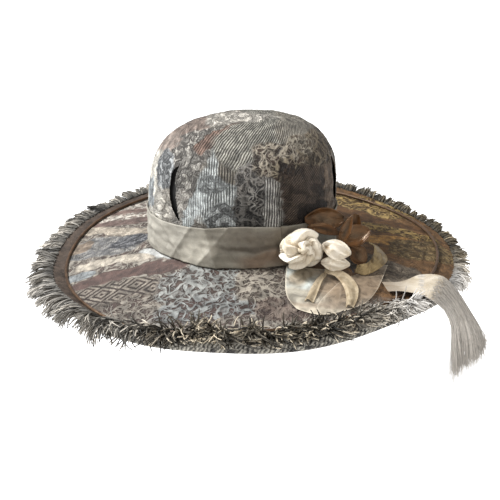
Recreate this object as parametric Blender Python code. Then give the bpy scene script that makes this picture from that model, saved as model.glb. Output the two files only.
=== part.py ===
"""Sun hat with a patchwork cap crown, a wide drooping brim, a ravelled rim and silk trims.

Lengths in the tables are millimetres and angles are degrees; meshes are made in metres, +Z up. The
origin is the centre of the head opening, where the crown meets the brim. Angle 0 is +X, and the trims
are at the front right, between -20 and -60.
"""

import math
from collections import namedtuple

import bmesh
import bpy
from mathutils import Vector

MM = 0.001
WELD = 0.02
GAP = 0.4
NORMAL_STEP = 0.004
UPWARD = 0.3

CROWN_WALL = 1.6
CROWN_COLUMNS = 56
CROWN_ROWS = 11
CROWN_CROWDING = 0.6

# Height above the brim, half-length in X, half-width in Y and shift of the centre along X.
CrownSection = namedtuple("CrownSection", "height half_length half_width shift")
CROWN_SECTIONS = (
    CrownSection(0.0, 94.7, 88.0, 0.0),
    CrownSection(24.0, 95.4, 88.0, 0.0),
    CrownSection(48.0, 96.0, 87.5, 0.5),
    CrownSection(69.0, 94.3, 85.5, 1.5),
    CrownSection(88.0, 90.0, 81.5, 2.8),
    CrownSection(105.0, 79.0, 72.0, 4.5),
    CrownSection(117.0, 62.5, 57.0, 7.5),
    CrownSection(124.5, 40.0, 37.0, 11.0),
    CrownSection(127.3, 0.0, 0.0, 13.5),
)

# Ridges and hollows of the crown's foot: angle, how far it stands out, and its half-width in degrees.
Ridge = namedtuple("Ridge", "angle out spread")
CROWN_RIDGES = (
    Ridge(-112.0, 2.4, 9.0),
    Ridge(-136.0, -1.6, 14.0),
    Ridge(-88.0, -0.8, 12.0),
    Ridge(40.0, 1.2, 20.0),
    Ridge(120.0, 1.2, 20.0),
)
RIDGE_FADE_HEIGHT = 90.0
FRONT_DIP = 3.0
DIP_FADE_HEIGHT = 70.0

# The front tuck: its line leans with height, one side stands proud and the other is drawn in.
TUCK_ANGLE = -65.0
TUCK_LEAN = -0.09
TUCK_PROUD = 3.0
TUCK_SUNK = -6.0
TUCK_PROUD_SPREAD = 12.0
TUCK_SUNK_SPREAD = 15.0
TUCK_STEP = 1.2
TUCK_START, TUCK_FULL, TUCK_FADE, TUCK_END = 18.0, 34.0, 62.0, 90.0
DENT_ANGLE, DENT_HEIGHT, DENT_DEPTH = -61.0, 64.0, -3.5
DENT_SPREAD, DENT_TALL = 7.0, 9.0

LINING_WALL = 1.0
LINING_FOOT = 0.65
LINING_INSET = 3.2
LINING_COLUMNS = 36
LINING_ROWS = 6
LINING_HOLLOW = Ridge(-56.0, -9.5, 22.0)
LINING_HOLLOW_EASE = 10.0

# Slits through the crown: place of the middle, length, width, bow to one side, shift of the lower end.
Slit = namedtuple("Slit", "name angle height length width bow foot")
CROWN_SLITS = (
    Slit("left_slit_cutter", -137.0, 66.0, 56.0, 8.0, 8.0, 8.0),
    Slit("right_slit_cutter", -12.5, 68.0, 46.0, 17.0, 0.0, 1.0),
)
SLIT_POINTS = 7
SLIT_CUT_IN = 20.0
SLIT_CUT_OUT = 14.0

BRIM_WALL = 2.4
BRIM_COLUMNS = 64
BRIM_UNDER_CROWN = 4.8
RIM_HALF_LENGTH = 209.0
RIM_HALF_WIDTH = 194.0
RIM_SHIFT_X = 11.5
RIM_SHIFT_Y = -3.0
PIPING_PLACE = 0.845
BRIM_PLACES = (1.0, PIPING_PLACE, 0.58, 0.3, 0.0)
BRIM_SAG_POWER = 1.08
WAVE_HEIGHT = 1.4
WAVE_COUNT = 7
WAVE_TURN = 40.0

# Round the brim: how far the piping lies below the crown's foot, and how far the rim rises from there.
RimStation = namedtuple("RimStation", "angle drop rise")
RIM_STATIONS = (
    RimStation(0.0, 13.0, -7.0),
    RimStation(45.0, 4.0, 1.0),
    RimStation(90.0, 1.0, 8.0),
    RimStation(135.0, 5.0, 2.0),
    RimStation(180.0, 28.0, 2.0),
    RimStation(225.0, 40.0, 9.0),
    RimStation(270.0, 31.0, -1.0),
    RimStation(315.0, 22.0, 1.0),
)

PIPING_RADIUS = 1.5
PIPING_LIFT = 0.55
BINDING_HEIGHT = 9.0
BINDING_THICK = 4.2
BINDING_SIDES = 6
BINDING_IN = 0.6
BINDING_BELOW = 1.0

# Round the rim: how long the ravelled yarn is, and how steeply it stands (90 is straight up).
FringeStation = namedtuple("FringeStation", "angle length slope")
FRINGE_STATIONS = (
    FringeStation(0.0, 18.0, 12.0),
    FringeStation(30.0, 14.0, 35.0),
    FringeStation(60.0, 14.0, 40.0),
    FringeStation(90.0, 13.0, 50.0),
    FringeStation(120.0, 16.0, 35.0),
    FringeStation(150.0, 19.0, 20.0),
    FringeStation(180.0, 28.0, -4.0),
    FringeStation(210.0, 38.0, -6.0),
    FringeStation(240.0, 34.0, 45.0),
    FringeStation(270.0, 30.0, 96.0),
    FringeStation(300.0, 30.0, 98.0),
    FringeStation(330.0, 12.0, 10.0),
)
FRINGE_LOCKS = 72
# Where the silk tail crosses the rim it presses the yarn down.
PRESSED_ANGLE, PRESSED_SPREAD, PRESSED_LENGTH, PRESSED_SLOPE = -31.0, 14.0, 0.7, 56.0
TAPE_WIDE = 2.4
TAPE_CLEAR = 1.6
LOCK_UNEVEN = 0.32
GOLDEN_PART = 0.618
# A lock's middle and tip: part of its length, width beside its root's, thickness and turn of its slope.
LockSection = namedtuple("LockSection", "place width thick bend")
LOCK_SECTIONS = (
    LockSection(0.5, 0.92, 4.5, 0.0),
    LockSection(1.0, 0.4, 1.6, -8.0),
)

# Round the crown: how high the ribbon's upper edge is.
BandStation = namedtuple("BandStation", "angle top")
BAND_STATIONS = (
    BandStation(0.0, 36.0),
    BandStation(45.0, 36.0),
    BandStation(90.0, 36.0),
    BandStation(135.0, 36.0),
    BandStation(180.0, 35.0),
    BandStation(225.0, 34.5),
    BandStation(270.0, 40.0),
    BandStation(315.0, 37.0),
)
BAND_WALL = 1.0
BAND_OUT = 1.8
BAND_FLARE = 1.0
BAND_FOOT = 0.7
BAND_ROWS = 3

SILK_WALL = 1.0

# Flat pieces on the brim: corners as X and Y (near is toward the front), bow of the near edge, lift.
Layer = namedtuple("Layer", "name far_left far_right near_left near_right bow lift")
ORGANZA_LAYERS = (
    Layer("organza_square", (43.5, -83.0), (98.0, -86.0), (39.5, -142.0), (91.0, -152.0), 10.0, 1.5),
    Layer("organza_fold", (96.0, -104.0), (144.5, -64.0), (60.0, -160.0), (126.0, -130.0), 8.0, 3.2),
)
RIBBON_ENDS = (
    Layer("ribbon_end_left", (73.0, -106.5), (78.7, -107.3), (62.0, -141.0), (66.0, -141.0), 0.0, 3.0),
    Layer("ribbon_end_right", (88.0, -96.0), (93.8, -95.1), (98.0, -150.0), (102.5, -149.5), 0.0, 4.8),
)
LAYER_COLUMNS, LAYER_ROWS = 5, 4

# Satin petals: the middle of the base and the tip, the way the face looks, width, cupping and belly.
Petal = namedtuple("Petal", "name base tip face width cup belly")
BROWN_PETALS = (
    Petal("brown_petal_top", (99.6, -63.5, 39.2), (61.5, -70.3, 41.0), (0.0, -1.0, 0.35), 21.0, -2.0, 3.0),
    Petal("brown_petal_lip", (95.0, -71.0, 27.3), (63.5, -75.1, 34.8), (0.0, -0.7, 0.7), 10.5, 3.0, 2.0),
    Petal("brown_petal_upright", (95.5, -81.5, 19.0), (105.5, -80.0, 47.0), (-0.2, -1.0, 0.1), 9.0, 2.0, 1.0),
    Petal("brown_petal_right", (96.2, -77.3, 20.2), (124.6, -70.6, 30.5), (-0.2, -0.8, 0.5), 21.0, 3.0, 2.0),
    Petal("brown_petal_back", (104.0, -65.0, 20.0), (112.5, -60.0, 43.0), (0.0, -1.0, 0.3), 16.0, 2.0, 1.0),
    Petal("brown_petal_low", (105.5, -78.4, 15.0), (120.5, -81.7, 0.6), (0.2, -0.7, 0.7), 20.0, -2.0, 2.0),
)
CREAM_LEAVES = (
    Petal("cream_loop_upper", (77.8, -93.0, 22.8), (104.5, -89.2, 14.3), (0.1, -0.75, 0.65), 20.0, -3.0, 3.0),
    Petal("cream_loop_lower", (76.5, -96.6, 6.9), (104.0, -93.1, 3.9), (0.0, -0.9, 0.4), 14.0, -3.0, 3.0),
)
PETAL_COLUMNS, PETAL_ROWS = 4, 6
PETAL_ROOT, PETAL_SPAN, PETAL_FULLNESS = 0.12, 0.82, 0.7

ROSETTE_MIDDLE = (58.2, -90.5, 17.3)
ROSETTE_FACING = (0.45, -0.87, 0.1)
ROSETTE_HALF_WIDTH, ROSETTE_HALF_HEIGHT, ROSETTE_HALF_DEPTH = 23.0, 19.5, 15.0
ROSETTE_SEGMENTS, ROSETTE_RINGS = 20, 10
ROSETTE_FOLD, ROSETTE_FOLDS, ROSETTE_TWIST = 0.07, 2, 5.0
ROSETTE_BACK = -0.5

# Ribbons: the two edges of each section.
RibbonSection = namedtuple("RibbonSection", "left_x left_y left_z right_x right_y right_z")
LOOP_SECTIONS = (
    RibbonSection(109.5, -90.0, -6.0, 112.0, -86.0, 0.0),
    RibbonSection(120.0, -92.0, -8.4, 121.5, -86.0, 2.0),
    RibbonSection(136.0, -82.0, -4.0, 128.0, -75.0, 6.0),
    RibbonSection(143.5, -60.0, -3.0, 130.0, -62.0, 10.0),
    RibbonSection(134.5, -50.0, 6.0, 126.0, -54.0, 11.0),
)
LOOP_COLUMNS, LOOP_ROWS = 2, 12
TAIL_SECTIONS = (
    RibbonSection(139.0, -118.1, -14.8, 134.8, -100.7, -11.9),
    RibbonSection(151.9, -119.9, -13.8, 154.2, -99.8, -11.6),
    RibbonSection(167.4, -132.7, -12.0, 173.9, -84.3, -10.8),
    RibbonSection(176.9, -142.0, -14.0, 195.5, -86.7, -11.6),
    RibbonSection(188.5, -136.0, -25.2, 211.0, -88.0, -27.1),
    RibbonSection(195.4, -130.0, -38.2, 217.5, -94.0, -36.3),
    RibbonSection(199.2, -126.0, -49.6, 224.4, -98.0, -47.2),
    RibbonSection(201.0, -122.0, -63.2, 230.8, -100.0, -59.0),
    RibbonSection(202.4, -120.0, -76.8, 235.3, -102.0, -69.1),
    RibbonSection(204.6, -118.0, -99.0, 238.0, -104.0, -77.8),
)
TAIL_COLUMNS, TAIL_ROWS = 7, 14
TAIL_RIPPLE, TAIL_RIPPLES = 1.2, 3
TAIL_RIPPLE_WAY = Vector((0.4, -0.9, 0.2))
TAIL_TIP, TAIL_TIP_FALL, TAIL_TIP_NARROW = 15.0, 1.3, 0.5

STEM_RADIUS = 0.9
STEM_POINTS = ((100.0, -84.5, 8.0), (104.0, -90.0, 3.0), (108.0, -97.0, -4.0))


def spline(before, first, second, after, part):
    """Catmull-Rom value at the given part of the way from first to second."""
    linear = (second - before) * part
    square = (2 * before - 5 * first + 4 * second - after) * part**2
    cube = (3 * first - before - 3 * second + after) * part**3
    return first + 0.5 * (linear + square + cube)


def along(rows, fraction):
    """A table's row at a fraction of its length, smooth through every row."""
    place = min(max(fraction, 0.0), 1.0) * (len(rows) - 1)
    start = min(int(place), len(rows) - 2)
    near = [rows[min(max(start + step, 0), len(rows) - 1)] for step in (-1, 0, 1, 2)]
    return type(rows[0])(*(spline(*column, place - start) for column in zip(*near)))


def around(rows, angle):
    """A row of a table of even steps round the hat, read at an angle."""
    place = (angle % 360) / 360 * len(rows)
    start = int(place)
    near = [rows[(start + step) % len(rows)] for step in (-1, 0, 1, 2)]
    return type(rows[0])(*(spline(*column, place - start) for column in zip(*near)))


def ramp(value, start, end):
    """0 before start, 1 after end, and a smooth rise between."""
    part = min(max((value - start) / (end - start), 0.0), 1.0)
    return part * part * (3 - 2 * part)


def bell(value, spread):
    """1 at nought, falling off smoothly over the spread."""
    return math.exp(-((value / spread) ** 2))


def turn_between(angle, other):
    """The signed turn in degrees from the other angle to this one."""
    return (angle - other + 180) % 360 - 180


def polar(radius, angle, height=0.0):
    """The point at a radius and an angle round the hat."""
    turn = math.radians(angle)
    return Vector((radius * math.cos(turn), radius * math.sin(turn), height))


def ellipse_radius(half_length, half_width, angle):
    """Distance from the centre of an ellipse to its outline at an angle."""
    turn = math.radians(angle)
    across = math.hypot(half_width * math.cos(turn), half_length * math.sin(turn))
    return half_length * half_width / across if across else 0.0


def foot_relief(angle):
    """How far the ridges and hollows stand out at the crown's foot."""
    return sum(ridge.out * bell(turn_between(angle, ridge.angle), ridge.spread) for ridge in CROWN_RIDGES)


def foot_dip(angle):
    """How far the crown's foot dips at the front."""
    return FRONT_DIP * max(-math.sin(math.radians(angle)), 0.0)


def tuck_angle(height):
    """Where the leaning line of the tuck is at a height."""
    return TUCK_ANGLE + TUCK_LEAN * (height - TUCK_FULL)


def tuck_relief(angle, height):
    """The proud side, the step and the sunk side of the front tuck, and the dent above it."""
    from_tuck = turn_between(angle, tuck_angle(height))
    strength = ramp(height, TUCK_START, TUCK_FULL) * (1 - ramp(height, TUCK_FADE, TUCK_END))
    proud = TUCK_PROUD * bell(from_tuck, TUCK_PROUD_SPREAD)
    sunk = TUCK_SUNK * bell(from_tuck, TUCK_SUNK_SPREAD)
    side = ramp(from_tuck, -TUCK_STEP, TUCK_STEP)
    dent = DENT_DEPTH * bell(turn_between(angle, DENT_ANGLE), DENT_SPREAD) * bell(height - DENT_HEIGHT, DENT_TALL)
    return strength * (proud + (sunk - proud) * side) + dent


def crown_point(angle, level, relief=1.0):
    """A point of the crown's outer face; level runs from 0 at its foot to 1 at its top."""
    row = along(CROWN_SECTIONS, level)
    radius = ellipse_radius(max(row.half_length, 0.0), max(row.half_width, 0.0), angle)
    ridges = foot_relief(angle) * (1 - ramp(row.height, 0, RIDGE_FADE_HEIGHT))
    radius += ridges + relief * tuck_relief(angle, row.height)
    dip = foot_dip(angle) * (1 - ramp(row.height, 0, DIP_FADE_HEIGHT))
    return polar(radius, angle, row.height - dip) + Vector((row.shift, 0, 0))


def crown_level(height):
    """The level of the crown at a height."""
    low, high = 0.0, 1.0
    while high - low > 1e-4:
        middle = (low + high) / 2
        low, high = (middle, high) if along(CROWN_SECTIONS, middle).height < height else (low, middle)
    return low


def crown_angle(part, height):
    """The angle of a crown column: columns crowd together at the tuck and lean with it."""
    crowded = part - CROWN_CROWDING * math.sin(2 * math.pi * part) / (2 * math.pi)
    return tuck_angle(height) + 360 * crowded


def crown_foot(angle):
    """Radius of the crown's outer face at its foot."""
    return crown_point(angle, 0).xy.length


def rim_radius(angle):
    """Distance from the origin to the rim, an ellipse whose centre is shifted from the crown's."""
    turn = math.radians(angle)
    along_x, along_y = math.cos(turn) / RIM_HALF_LENGTH, math.sin(turn) / RIM_HALF_WIDTH
    shift_x, shift_y = RIM_SHIFT_X / RIM_HALF_LENGTH, RIM_SHIFT_Y / RIM_HALF_WIDTH
    square = along_x**2 + along_y**2
    middle = along_x * shift_x + along_y * shift_y
    return (middle + math.sqrt(middle**2 - square * (shift_x**2 + shift_y**2 - 1))) / square


def brim_height(angle, place):
    """Height of the brim's upper face; place runs from 0 at the crown's foot to 1 at the rim."""
    station = around(RIM_STATIONS, angle)
    sag = station.drop * (min(max(place, 0.0), PIPING_PLACE) / PIPING_PLACE) ** BRIM_SAG_POWER
    curl = station.rise * max((place - PIPING_PLACE) / (1 - PIPING_PLACE), 0.0)
    wave = WAVE_HEIGHT * place**2 * math.sin(math.radians(WAVE_COUNT * angle + WAVE_TURN))
    return wave - sag + curl - foot_dip(angle) * (1 - place)


def brim_point(angle, place, lift=0.0):
    """A point over the brim's upper face."""
    radius = crown_foot(angle) + (rim_radius(angle) - crown_foot(angle)) * place
    return polar(radius, angle, brim_height(angle, place) + lift)


def over_brim(x, y, lift=0.0):
    """The point over the brim's upper face at x and y."""
    angle = math.degrees(math.atan2(y, x))
    foot = crown_foot(angle)
    return brim_point(angle, (math.hypot(x, y) - foot) / (rim_radius(angle) - foot), lift)


def cloth(name, colour, roughness, metallic=0.0):
    """A plain finish in the cloth's own colour."""
    material = bpy.data.materials.new(name)
    material.use_nodes = True
    shader = material.node_tree.nodes["Principled BSDF"]
    shader.inputs["Base Color"].default_value = (*colour, 1)
    shader.inputs["Roughness"].default_value = roughness
    shader.inputs["Metallic"].default_value = metallic
    return material


def laid_grid(columns, rows, surface):
    """A bmesh grid laid on surface(across, up), both from 0 to 1, its seam and poles welded."""
    grid = bmesh.new()
    bmesh.ops.create_grid(grid, x_segments=columns, y_segments=rows, size=1)
    for vertex in grid.verts:
        vertex.co = surface((vertex.co.x + 1) / 2, (vertex.co.y + 1) / 2)
    bmesh.ops.remove_doubles(grid, verts=grid.verts, dist=WELD)
    return grid


def add_piece(name, shape, material=None):
    """A named object from a bmesh whose points are in millimetres."""
    bmesh.ops.scale(shape, vec=(MM, MM, MM), verts=shape.verts)
    mesh = bpy.data.meshes.new(name)
    shape.to_mesh(mesh)
    shape.free()
    mesh.shade_smooth()
    piece = bpy.data.objects.new(name, mesh)
    if material:
        mesh.materials.append(material)
    bpy.context.scene.collection.objects.link(piece)
    return piece


def give_wall(piece, thickness):
    """Thickens a surface away from its outer face."""
    wall = piece.modifiers.new("wall", "SOLIDIFY")
    wall.thickness = thickness * MM
    wall.offset = -1


def make_crown(material):
    """The cap: a grid round the head, closed at the top, with its wall and its two slits."""

    def surface(across, up):
        height = along(CROWN_SECTIONS, up).height
        return crown_point(crown_angle(across, height), up) + Vector((0, 0, GAP * (1 - up)))

    crown = add_piece("crown", laid_grid(CROWN_COLUMNS, CROWN_ROWS, surface), material)
    give_wall(crown, CROWN_WALL)
    for slit in CROWN_SLITS:
        cut = crown.modifiers.new(slit.name, "BOOLEAN")
        cut.operation = "DIFFERENCE"
        cut.object = make_slit_cutter(slit)


def make_slit_cutter(slit):
    """A bowed lens-shaped block that stands across the crown's outer wall."""
    outward = polar(1.0, slit.angle)
    sideways = polar(1.0, slit.angle + 90)
    middle = crown_point(slit.angle, crown_level(slit.height), 0.0) - outward * SLIT_CUT_IN
    cutter = bmesh.new()
    corners = []
    for step in range(2 * SLIT_POINTS):
        turn = math.pi * step / SLIT_POINTS
        up = math.cos(turn) * slit.length / 2
        bowed = slit.foot * (0.5 - up / slit.length) - abs(math.sin(turn)) * slit.bow
        across = bowed + math.sin(turn) * slit.width / 2
        corners.append(cutter.verts.new(middle + sideways * across + Vector((0, 0, up))))
    cutter.faces.new(corners)
    extruded = bmesh.ops.extrude_face_region(cutter, geom=cutter.faces[:])["geom"]
    far_side = [part for part in extruded if isinstance(part, bmesh.types.BMVert)]
    bmesh.ops.translate(cutter, verts=far_side, vec=outward * (SLIT_CUT_IN + SLIT_CUT_OUT))
    bmesh.ops.recalc_face_normals(cutter, faces=cutter.faces)
    block = add_piece(slit.name, cutter)
    block.hide_render = True
    block.display_type = "WIRE"
    return block


def make_lining(material):
    """The black inner cap, a little inside the crown's wall, drawn in where the tuck is."""

    def outer(across, up):
        angle = 360 * across
        height = along(CROWN_SECTIONS, up).height
        rising = ramp(height, TUCK_START - LINING_HOLLOW_EASE, TUCK_FULL)
        falling = 1 - ramp(height, TUCK_FADE, TUCK_END + LINING_HOLLOW_EASE)
        hollow = LINING_HOLLOW.out * bell(turn_between(angle, LINING_HOLLOW.angle), LINING_HOLLOW.spread)
        return crown_point(angle, up, 0.0) + polar(hollow * rising * falling, angle)

    def surface(across, up):
        if up > 1 - NORMAL_STEP:
            return outer(across, up) - Vector((0, 0, LINING_INSET))
        sideways = outer(across + NORMAL_STEP, up) - outer(across - NORMAL_STEP, up)
        upward = outer(across, up + NORMAL_STEP) - outer(across, max(up - NORMAL_STEP, 0.0))
        inset = outer(across, up) - sideways.cross(upward).normalized() * LINING_INSET
        inset.z = max(inset.z, LINING_FOOT - foot_dip(360 * across))
        return inset

    lining = add_piece("crown_lining", laid_grid(LINING_COLUMNS, LINING_ROWS, surface), material)
    give_wall(lining, LINING_WALL)


def make_brim(material):
    """The brim: a drooping ring whose inner margin lies under the crown's wall."""
    rows = len(BRIM_PLACES)

    def surface(across, up):
        angle = 360 * across
        row = round(up * rows)
        if row == rows:
            return polar(crown_foot(angle) - BRIM_UNDER_CROWN, angle, -foot_dip(angle))
        return brim_point(angle, BRIM_PLACES[row])

    brim = add_piece("brim", laid_grid(BRIM_COLUMNS, rows, surface), material)
    give_wall(brim, BRIM_WALL)


def make_piping(material):
    """The round cord that runs along the brim just inside its rim."""
    curve = bpy.data.curves.new("brim_piping", "CURVE")
    curve.dimensions = "3D"
    curve.bevel_depth = PIPING_RADIUS * MM
    curve.bevel_resolution = 1
    line = curve.splines.new("POLY")
    line.points.add(BRIM_COLUMNS - 1)
    line.use_cyclic_u = True
    for step, point in enumerate(line.points):
        place = brim_point(360 * step / BRIM_COLUMNS, PIPING_PLACE, PIPING_RADIUS + PIPING_LIFT)
        point.co = (*(place * MM), 1)
    curve.materials.append(material)
    bpy.context.scene.collection.objects.link(bpy.data.objects.new("brim_piping", curve))


def make_binding(material):
    """The thick woven band that hangs under the rim."""

    def surface(across, up):
        angle = 360 * across
        turn = 2 * math.pi * (up + 0.5 / BINDING_SIDES)
        below = BRIM_WALL + BINDING_BELOW + BINDING_HEIGHT / 2
        out = math.cos(turn) * BINDING_THICK / 2 - BINDING_IN
        return brim_point(angle, 1.0) + polar(out, angle, math.sin(turn) * BINDING_HEIGHT / 2 - below)

    ring = laid_grid(BRIM_COLUMNS, BINDING_SIDES, surface)
    bmesh.ops.recalc_face_normals(ring, faces=ring.faces)
    add_piece("rim_binding", ring, material)


def make_fringe(material):
    """The ravelled rim: locks of yarn drawn out of a three-sided tape along the brim's edge."""
    corners = ((0.0, -BRIM_WALL), (TAPE_WIDE, -BRIM_WALL), (0.0, TAPE_WIDE - BRIM_WALL))

    def surface(across, up):
        angle = 360 * across
        out, rise = corners[round(up * 3) % 3]
        return brim_point(angle, 1.0) + polar(TAPE_CLEAR + out, angle, rise)

    fringe = laid_grid(FRINGE_LOCKS, 3, surface)
    bmesh.ops.recalc_face_normals(fringe, faces=fringe.faces)
    roots = [face for face in fringe.faces if face.normal.z > UPWARD]
    for lock in bmesh.ops.extrude_discrete_faces(fringe, faces=roots)["faces"]:
        draw_out_lock(fringe, lock)
    add_piece("brim_fringe", fringe, material)


def draw_out_lock(fringe, lock):
    """Draws one face of the tape out into a lock with the fringe's length and slope at its place."""
    root = lock.calc_center_median()
    angle = math.degrees(math.atan2(root.y, root.x))
    station = around(FRINGE_STATIONS, angle)
    uneven = (angle % 360) * FRINGE_LOCKS / 360 * GOLDEN_PART % 1 - 0.5
    pressed = bell(turn_between(angle, PRESSED_ANGLE), PRESSED_SPREAD)
    length = station.length * (1 + LOCK_UNEVEN * uneven) * (1 - PRESSED_LENGTH * pressed)
    width = 2 * math.pi * root.xy.length / FRINGE_LOCKS
    sideways = polar(1.0, angle + 90)
    for section in LOCK_SECTIONS:
        if section is not LOCK_SECTIONS[0]:
            lock = bmesh.ops.extrude_discrete_faces(fringe, faces=[lock])["faces"][0]
        slope = math.radians(station.slope + section.bend - PRESSED_SLOPE * pressed)
        upright = polar(-math.sin(slope), angle, math.cos(slope))
        end = root + polar(math.cos(slope), angle, math.sin(slope)) * length * section.place
        half_width = sideways * section.width * width / 2
        half_thick = upright * section.thick / 2
        corners = sorted(lock.verts, key=lambda corner: corner.co.dot(sideways))
        for side, pair in ((-1, corners[:2]), (1, corners[2:])):
            lower, upper = sorted(pair, key=lambda corner: corner.co.dot(upright))
            lower.co = end + half_width * side - half_thick
            upper.co = end + half_width * side + half_thick


def make_band(material):
    """The wide ribbon round the crown's foot, a little flared below and eased over the tuck."""

    def surface(across, up):
        height = around(BAND_STATIONS, crown_angle(across, TUCK_FULL)).top * up
        angle = crown_angle(across, height)
        out = BAND_OUT + max(tuck_relief(angle, height), 0.0) + BAND_FLARE * (1 - up)
        return crown_point(angle, crown_level(height), 0.0) + polar(out, angle, BAND_FOOT)

    band = add_piece("hat_band", laid_grid(CROWN_COLUMNS, BAND_ROWS, surface), material)
    give_wall(band, BAND_WALL)


def make_layer(layer, material):
    """A flat piece of cloth that lies over the brim, its near edge bowed out."""
    far_left, far_right, near_left, near_right = (Vector(corner) for corner in layer[1:5])

    def surface(across, up):
        near = near_left.lerp(near_right, across)
        outward = near.normalized() * layer.bow * math.sin(math.pi * across)
        flat = (near + outward).lerp(far_left.lerp(far_right, across), up)
        return over_brim(flat.x, flat.y, layer.lift)

    give_wall(add_piece(layer.name, laid_grid(LAYER_COLUMNS, LAYER_ROWS, surface), material), SILK_WALL)


def make_petal(petal, material):
    """A satin petal: widest in its middle, cupped across and bellied along."""
    base, tip = Vector(petal.base), Vector(petal.tip)
    axis = tip - base
    face = Vector(petal.face)
    face = (face - axis * face.dot(axis) / axis.length_squared).normalized()
    sideways = axis.cross(face).normalized()

    def surface(across, up):
        side = 2 * across - 1
        fullness = math.sin(math.pi * (PETAL_ROOT + PETAL_SPAN * up)) ** PETAL_FULLNESS
        proud = petal.belly * math.sin(math.pi * up) + petal.cup * side**2 * fullness
        return base + axis * up + sideways * side * fullness * petal.width / 2 + face * proud

    give_wall(add_piece(petal.name, laid_grid(PETAL_COLUMNS, PETAL_ROWS, surface), material), SILK_WALL)


def make_rosette(material):
    """The wound rosette: a bud whose folds spiral out from its middle."""
    facing = Vector(ROSETTE_FACING).normalized()
    sideways = Vector((-facing.y, facing.x, 0)).normalized()
    upright = facing.cross(sideways)
    bud = bmesh.new()
    bmesh.ops.create_uvsphere(bud, u_segments=ROSETTE_SEGMENTS, v_segments=ROSETTE_RINGS, radius=1)
    for vertex in bud.verts:
        across, up, out = vertex.co
        from_middle = math.hypot(across, up)
        spiral = ROSETTE_FOLDS * math.atan2(up, across) + ROSETTE_TWIST * from_middle
        fold = 1 + ROSETTE_FOLD * math.sin(spiral) * from_middle * (out > ROSETTE_BACK)
        place = sideways * across * ROSETTE_HALF_WIDTH + upright * up * ROSETTE_HALF_HEIGHT
        vertex.co = Vector(ROSETTE_MIDDLE) + (place + facing * out * ROSETTE_HALF_DEPTH) * fold
    bmesh.ops.recalc_face_normals(bud, faces=bud.faces)
    add_piece("cream_rosette", bud, material)


def ribbon_surface(sections, ripple=0.0, ripples=1):
    """A surface between a ribbon's two edges, with ripples that grow along it."""

    def surface(across, up):
        row = along(sections, up)
        left, right = Vector(row[:3]), Vector(row[3:])
        sag = ripple * up * math.sin(2 * math.pi * ripples * across)
        return left.lerp(right, across) + TAIL_RIPPLE_WAY * sag

    return surface


def make_beige_loop(material):
    """The ribbon loop that stands on its edge beside the flower."""
    loop = laid_grid(LOOP_COLUMNS, LOOP_ROWS, ribbon_surface(LOOP_SECTIONS))
    give_wall(add_piece("beige_ribbon_loop", loop, material), SILK_WALL)


def make_tail(material):
    """The silk tail: it crosses the brim, hangs below the rim and ends in ravelled locks."""
    tail = laid_grid(TAIL_COLUMNS, TAIL_ROWS, ribbon_surface(TAIL_SECTIONS, TAIL_RIPPLE, TAIL_RIPPLES))
    end_edge = Vector(TAIL_SECTIONS[-1][:3]), Vector(TAIL_SECTIONS[-1][3:])
    along_end = (end_edge[1] - end_edge[0]).normalized()
    bmesh.ops.solidify(tail, geom=tail.faces[:], thickness=SILK_WALL)
    bmesh.ops.recalc_face_normals(tail, faces=tail.faces)
    across_end = (end_edge[1] - end_edge[0]).length
    ends = [face for face in tail.faces if is_tail_end(face, end_edge[0], along_end)]
    for lock in bmesh.ops.extrude_discrete_faces(tail, faces=ends)["faces"]:
        middle = lock.calc_center_median()
        part = (middle - end_edge[0]).dot(along_end) / across_end
        fall = Vector((0.0, 0.0, -TAIL_TIP * math.cos(TAIL_TIP_FALL * part)))
        for corner in lock.verts:
            corner.co = middle + (corner.co - middle) * TAIL_TIP_NARROW + fall
    add_piece("silk_tail", tail, material)


def is_tail_end(face, start, along_end):
    """Whether a face lies in the tail's cut end."""
    away = face.calc_center_median() - start
    return (away - along_end * away.dot(along_end)).length < 2 * SILK_WALL and face.normal.z < -UPWARD


def make_stem(material):
    """The flower's short dark stem."""
    curve = bpy.data.curves.new("flower_stem", "CURVE")
    curve.dimensions = "3D"
    curve.bevel_depth = STEM_RADIUS * MM
    curve.bevel_resolution = 1
    curve.use_fill_caps = True
    line = curve.splines.new("POLY")
    line.points.add(len(STEM_POINTS) - 1)
    for point, place in zip(line.points, STEM_POINTS):
        point.co = (*(Vector(place) * MM), 1)
    curve.materials.append(material)
    bpy.context.scene.collection.objects.link(bpy.data.objects.new("flower_stem", curve))


def main():
    """Clears the scene and makes every piece of the hat."""
    for leftover in list(bpy.data.objects):
        bpy.data.objects.remove(leftover)
    jacquard = cloth("patchwork_jacquard", (0.36, 0.32, 0.28), 0.8)
    make_crown(jacquard)
    make_lining(cloth("black_lining", (0.01, 0.01, 0.01), 0.8))
    make_brim(jacquard)
    make_piping(jacquard)
    make_binding(cloth("woven_binding", (0.5, 0.48, 0.45), 0.85))
    make_fringe(cloth("ravelled_yarn", (0.35, 0.32, 0.27), 0.9))
    make_band(cloth("linen_ribbon", (0.45, 0.4, 0.32), 0.7))
    organza = cloth("sheer_organza", (0.5, 0.45, 0.38), 0.5)
    for layer in ORGANZA_LAYERS:
        make_layer(layer, organza)
    cream = cloth("cream_satin", (0.8, 0.74, 0.6), 0.4)
    for layer in RIBBON_ENDS:
        make_layer(layer, cream)
    make_rosette(cream)
    for leaf in CREAM_LEAVES:
        make_petal(leaf, cream)
    brown = cloth("brown_satin", (0.2, 0.11, 0.06), 0.4)
    for petal in BROWN_PETALS:
        make_petal(petal, brown)
    make_stem(cloth("dark_stem", (0.03, 0.02, 0.02), 0.6))
    make_beige_loop(cloth("beige_satin", (0.45, 0.4, 0.28), 0.4))
    make_tail(cloth("raw_silk", (0.7, 0.66, 0.58), 0.6))


main()
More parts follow.
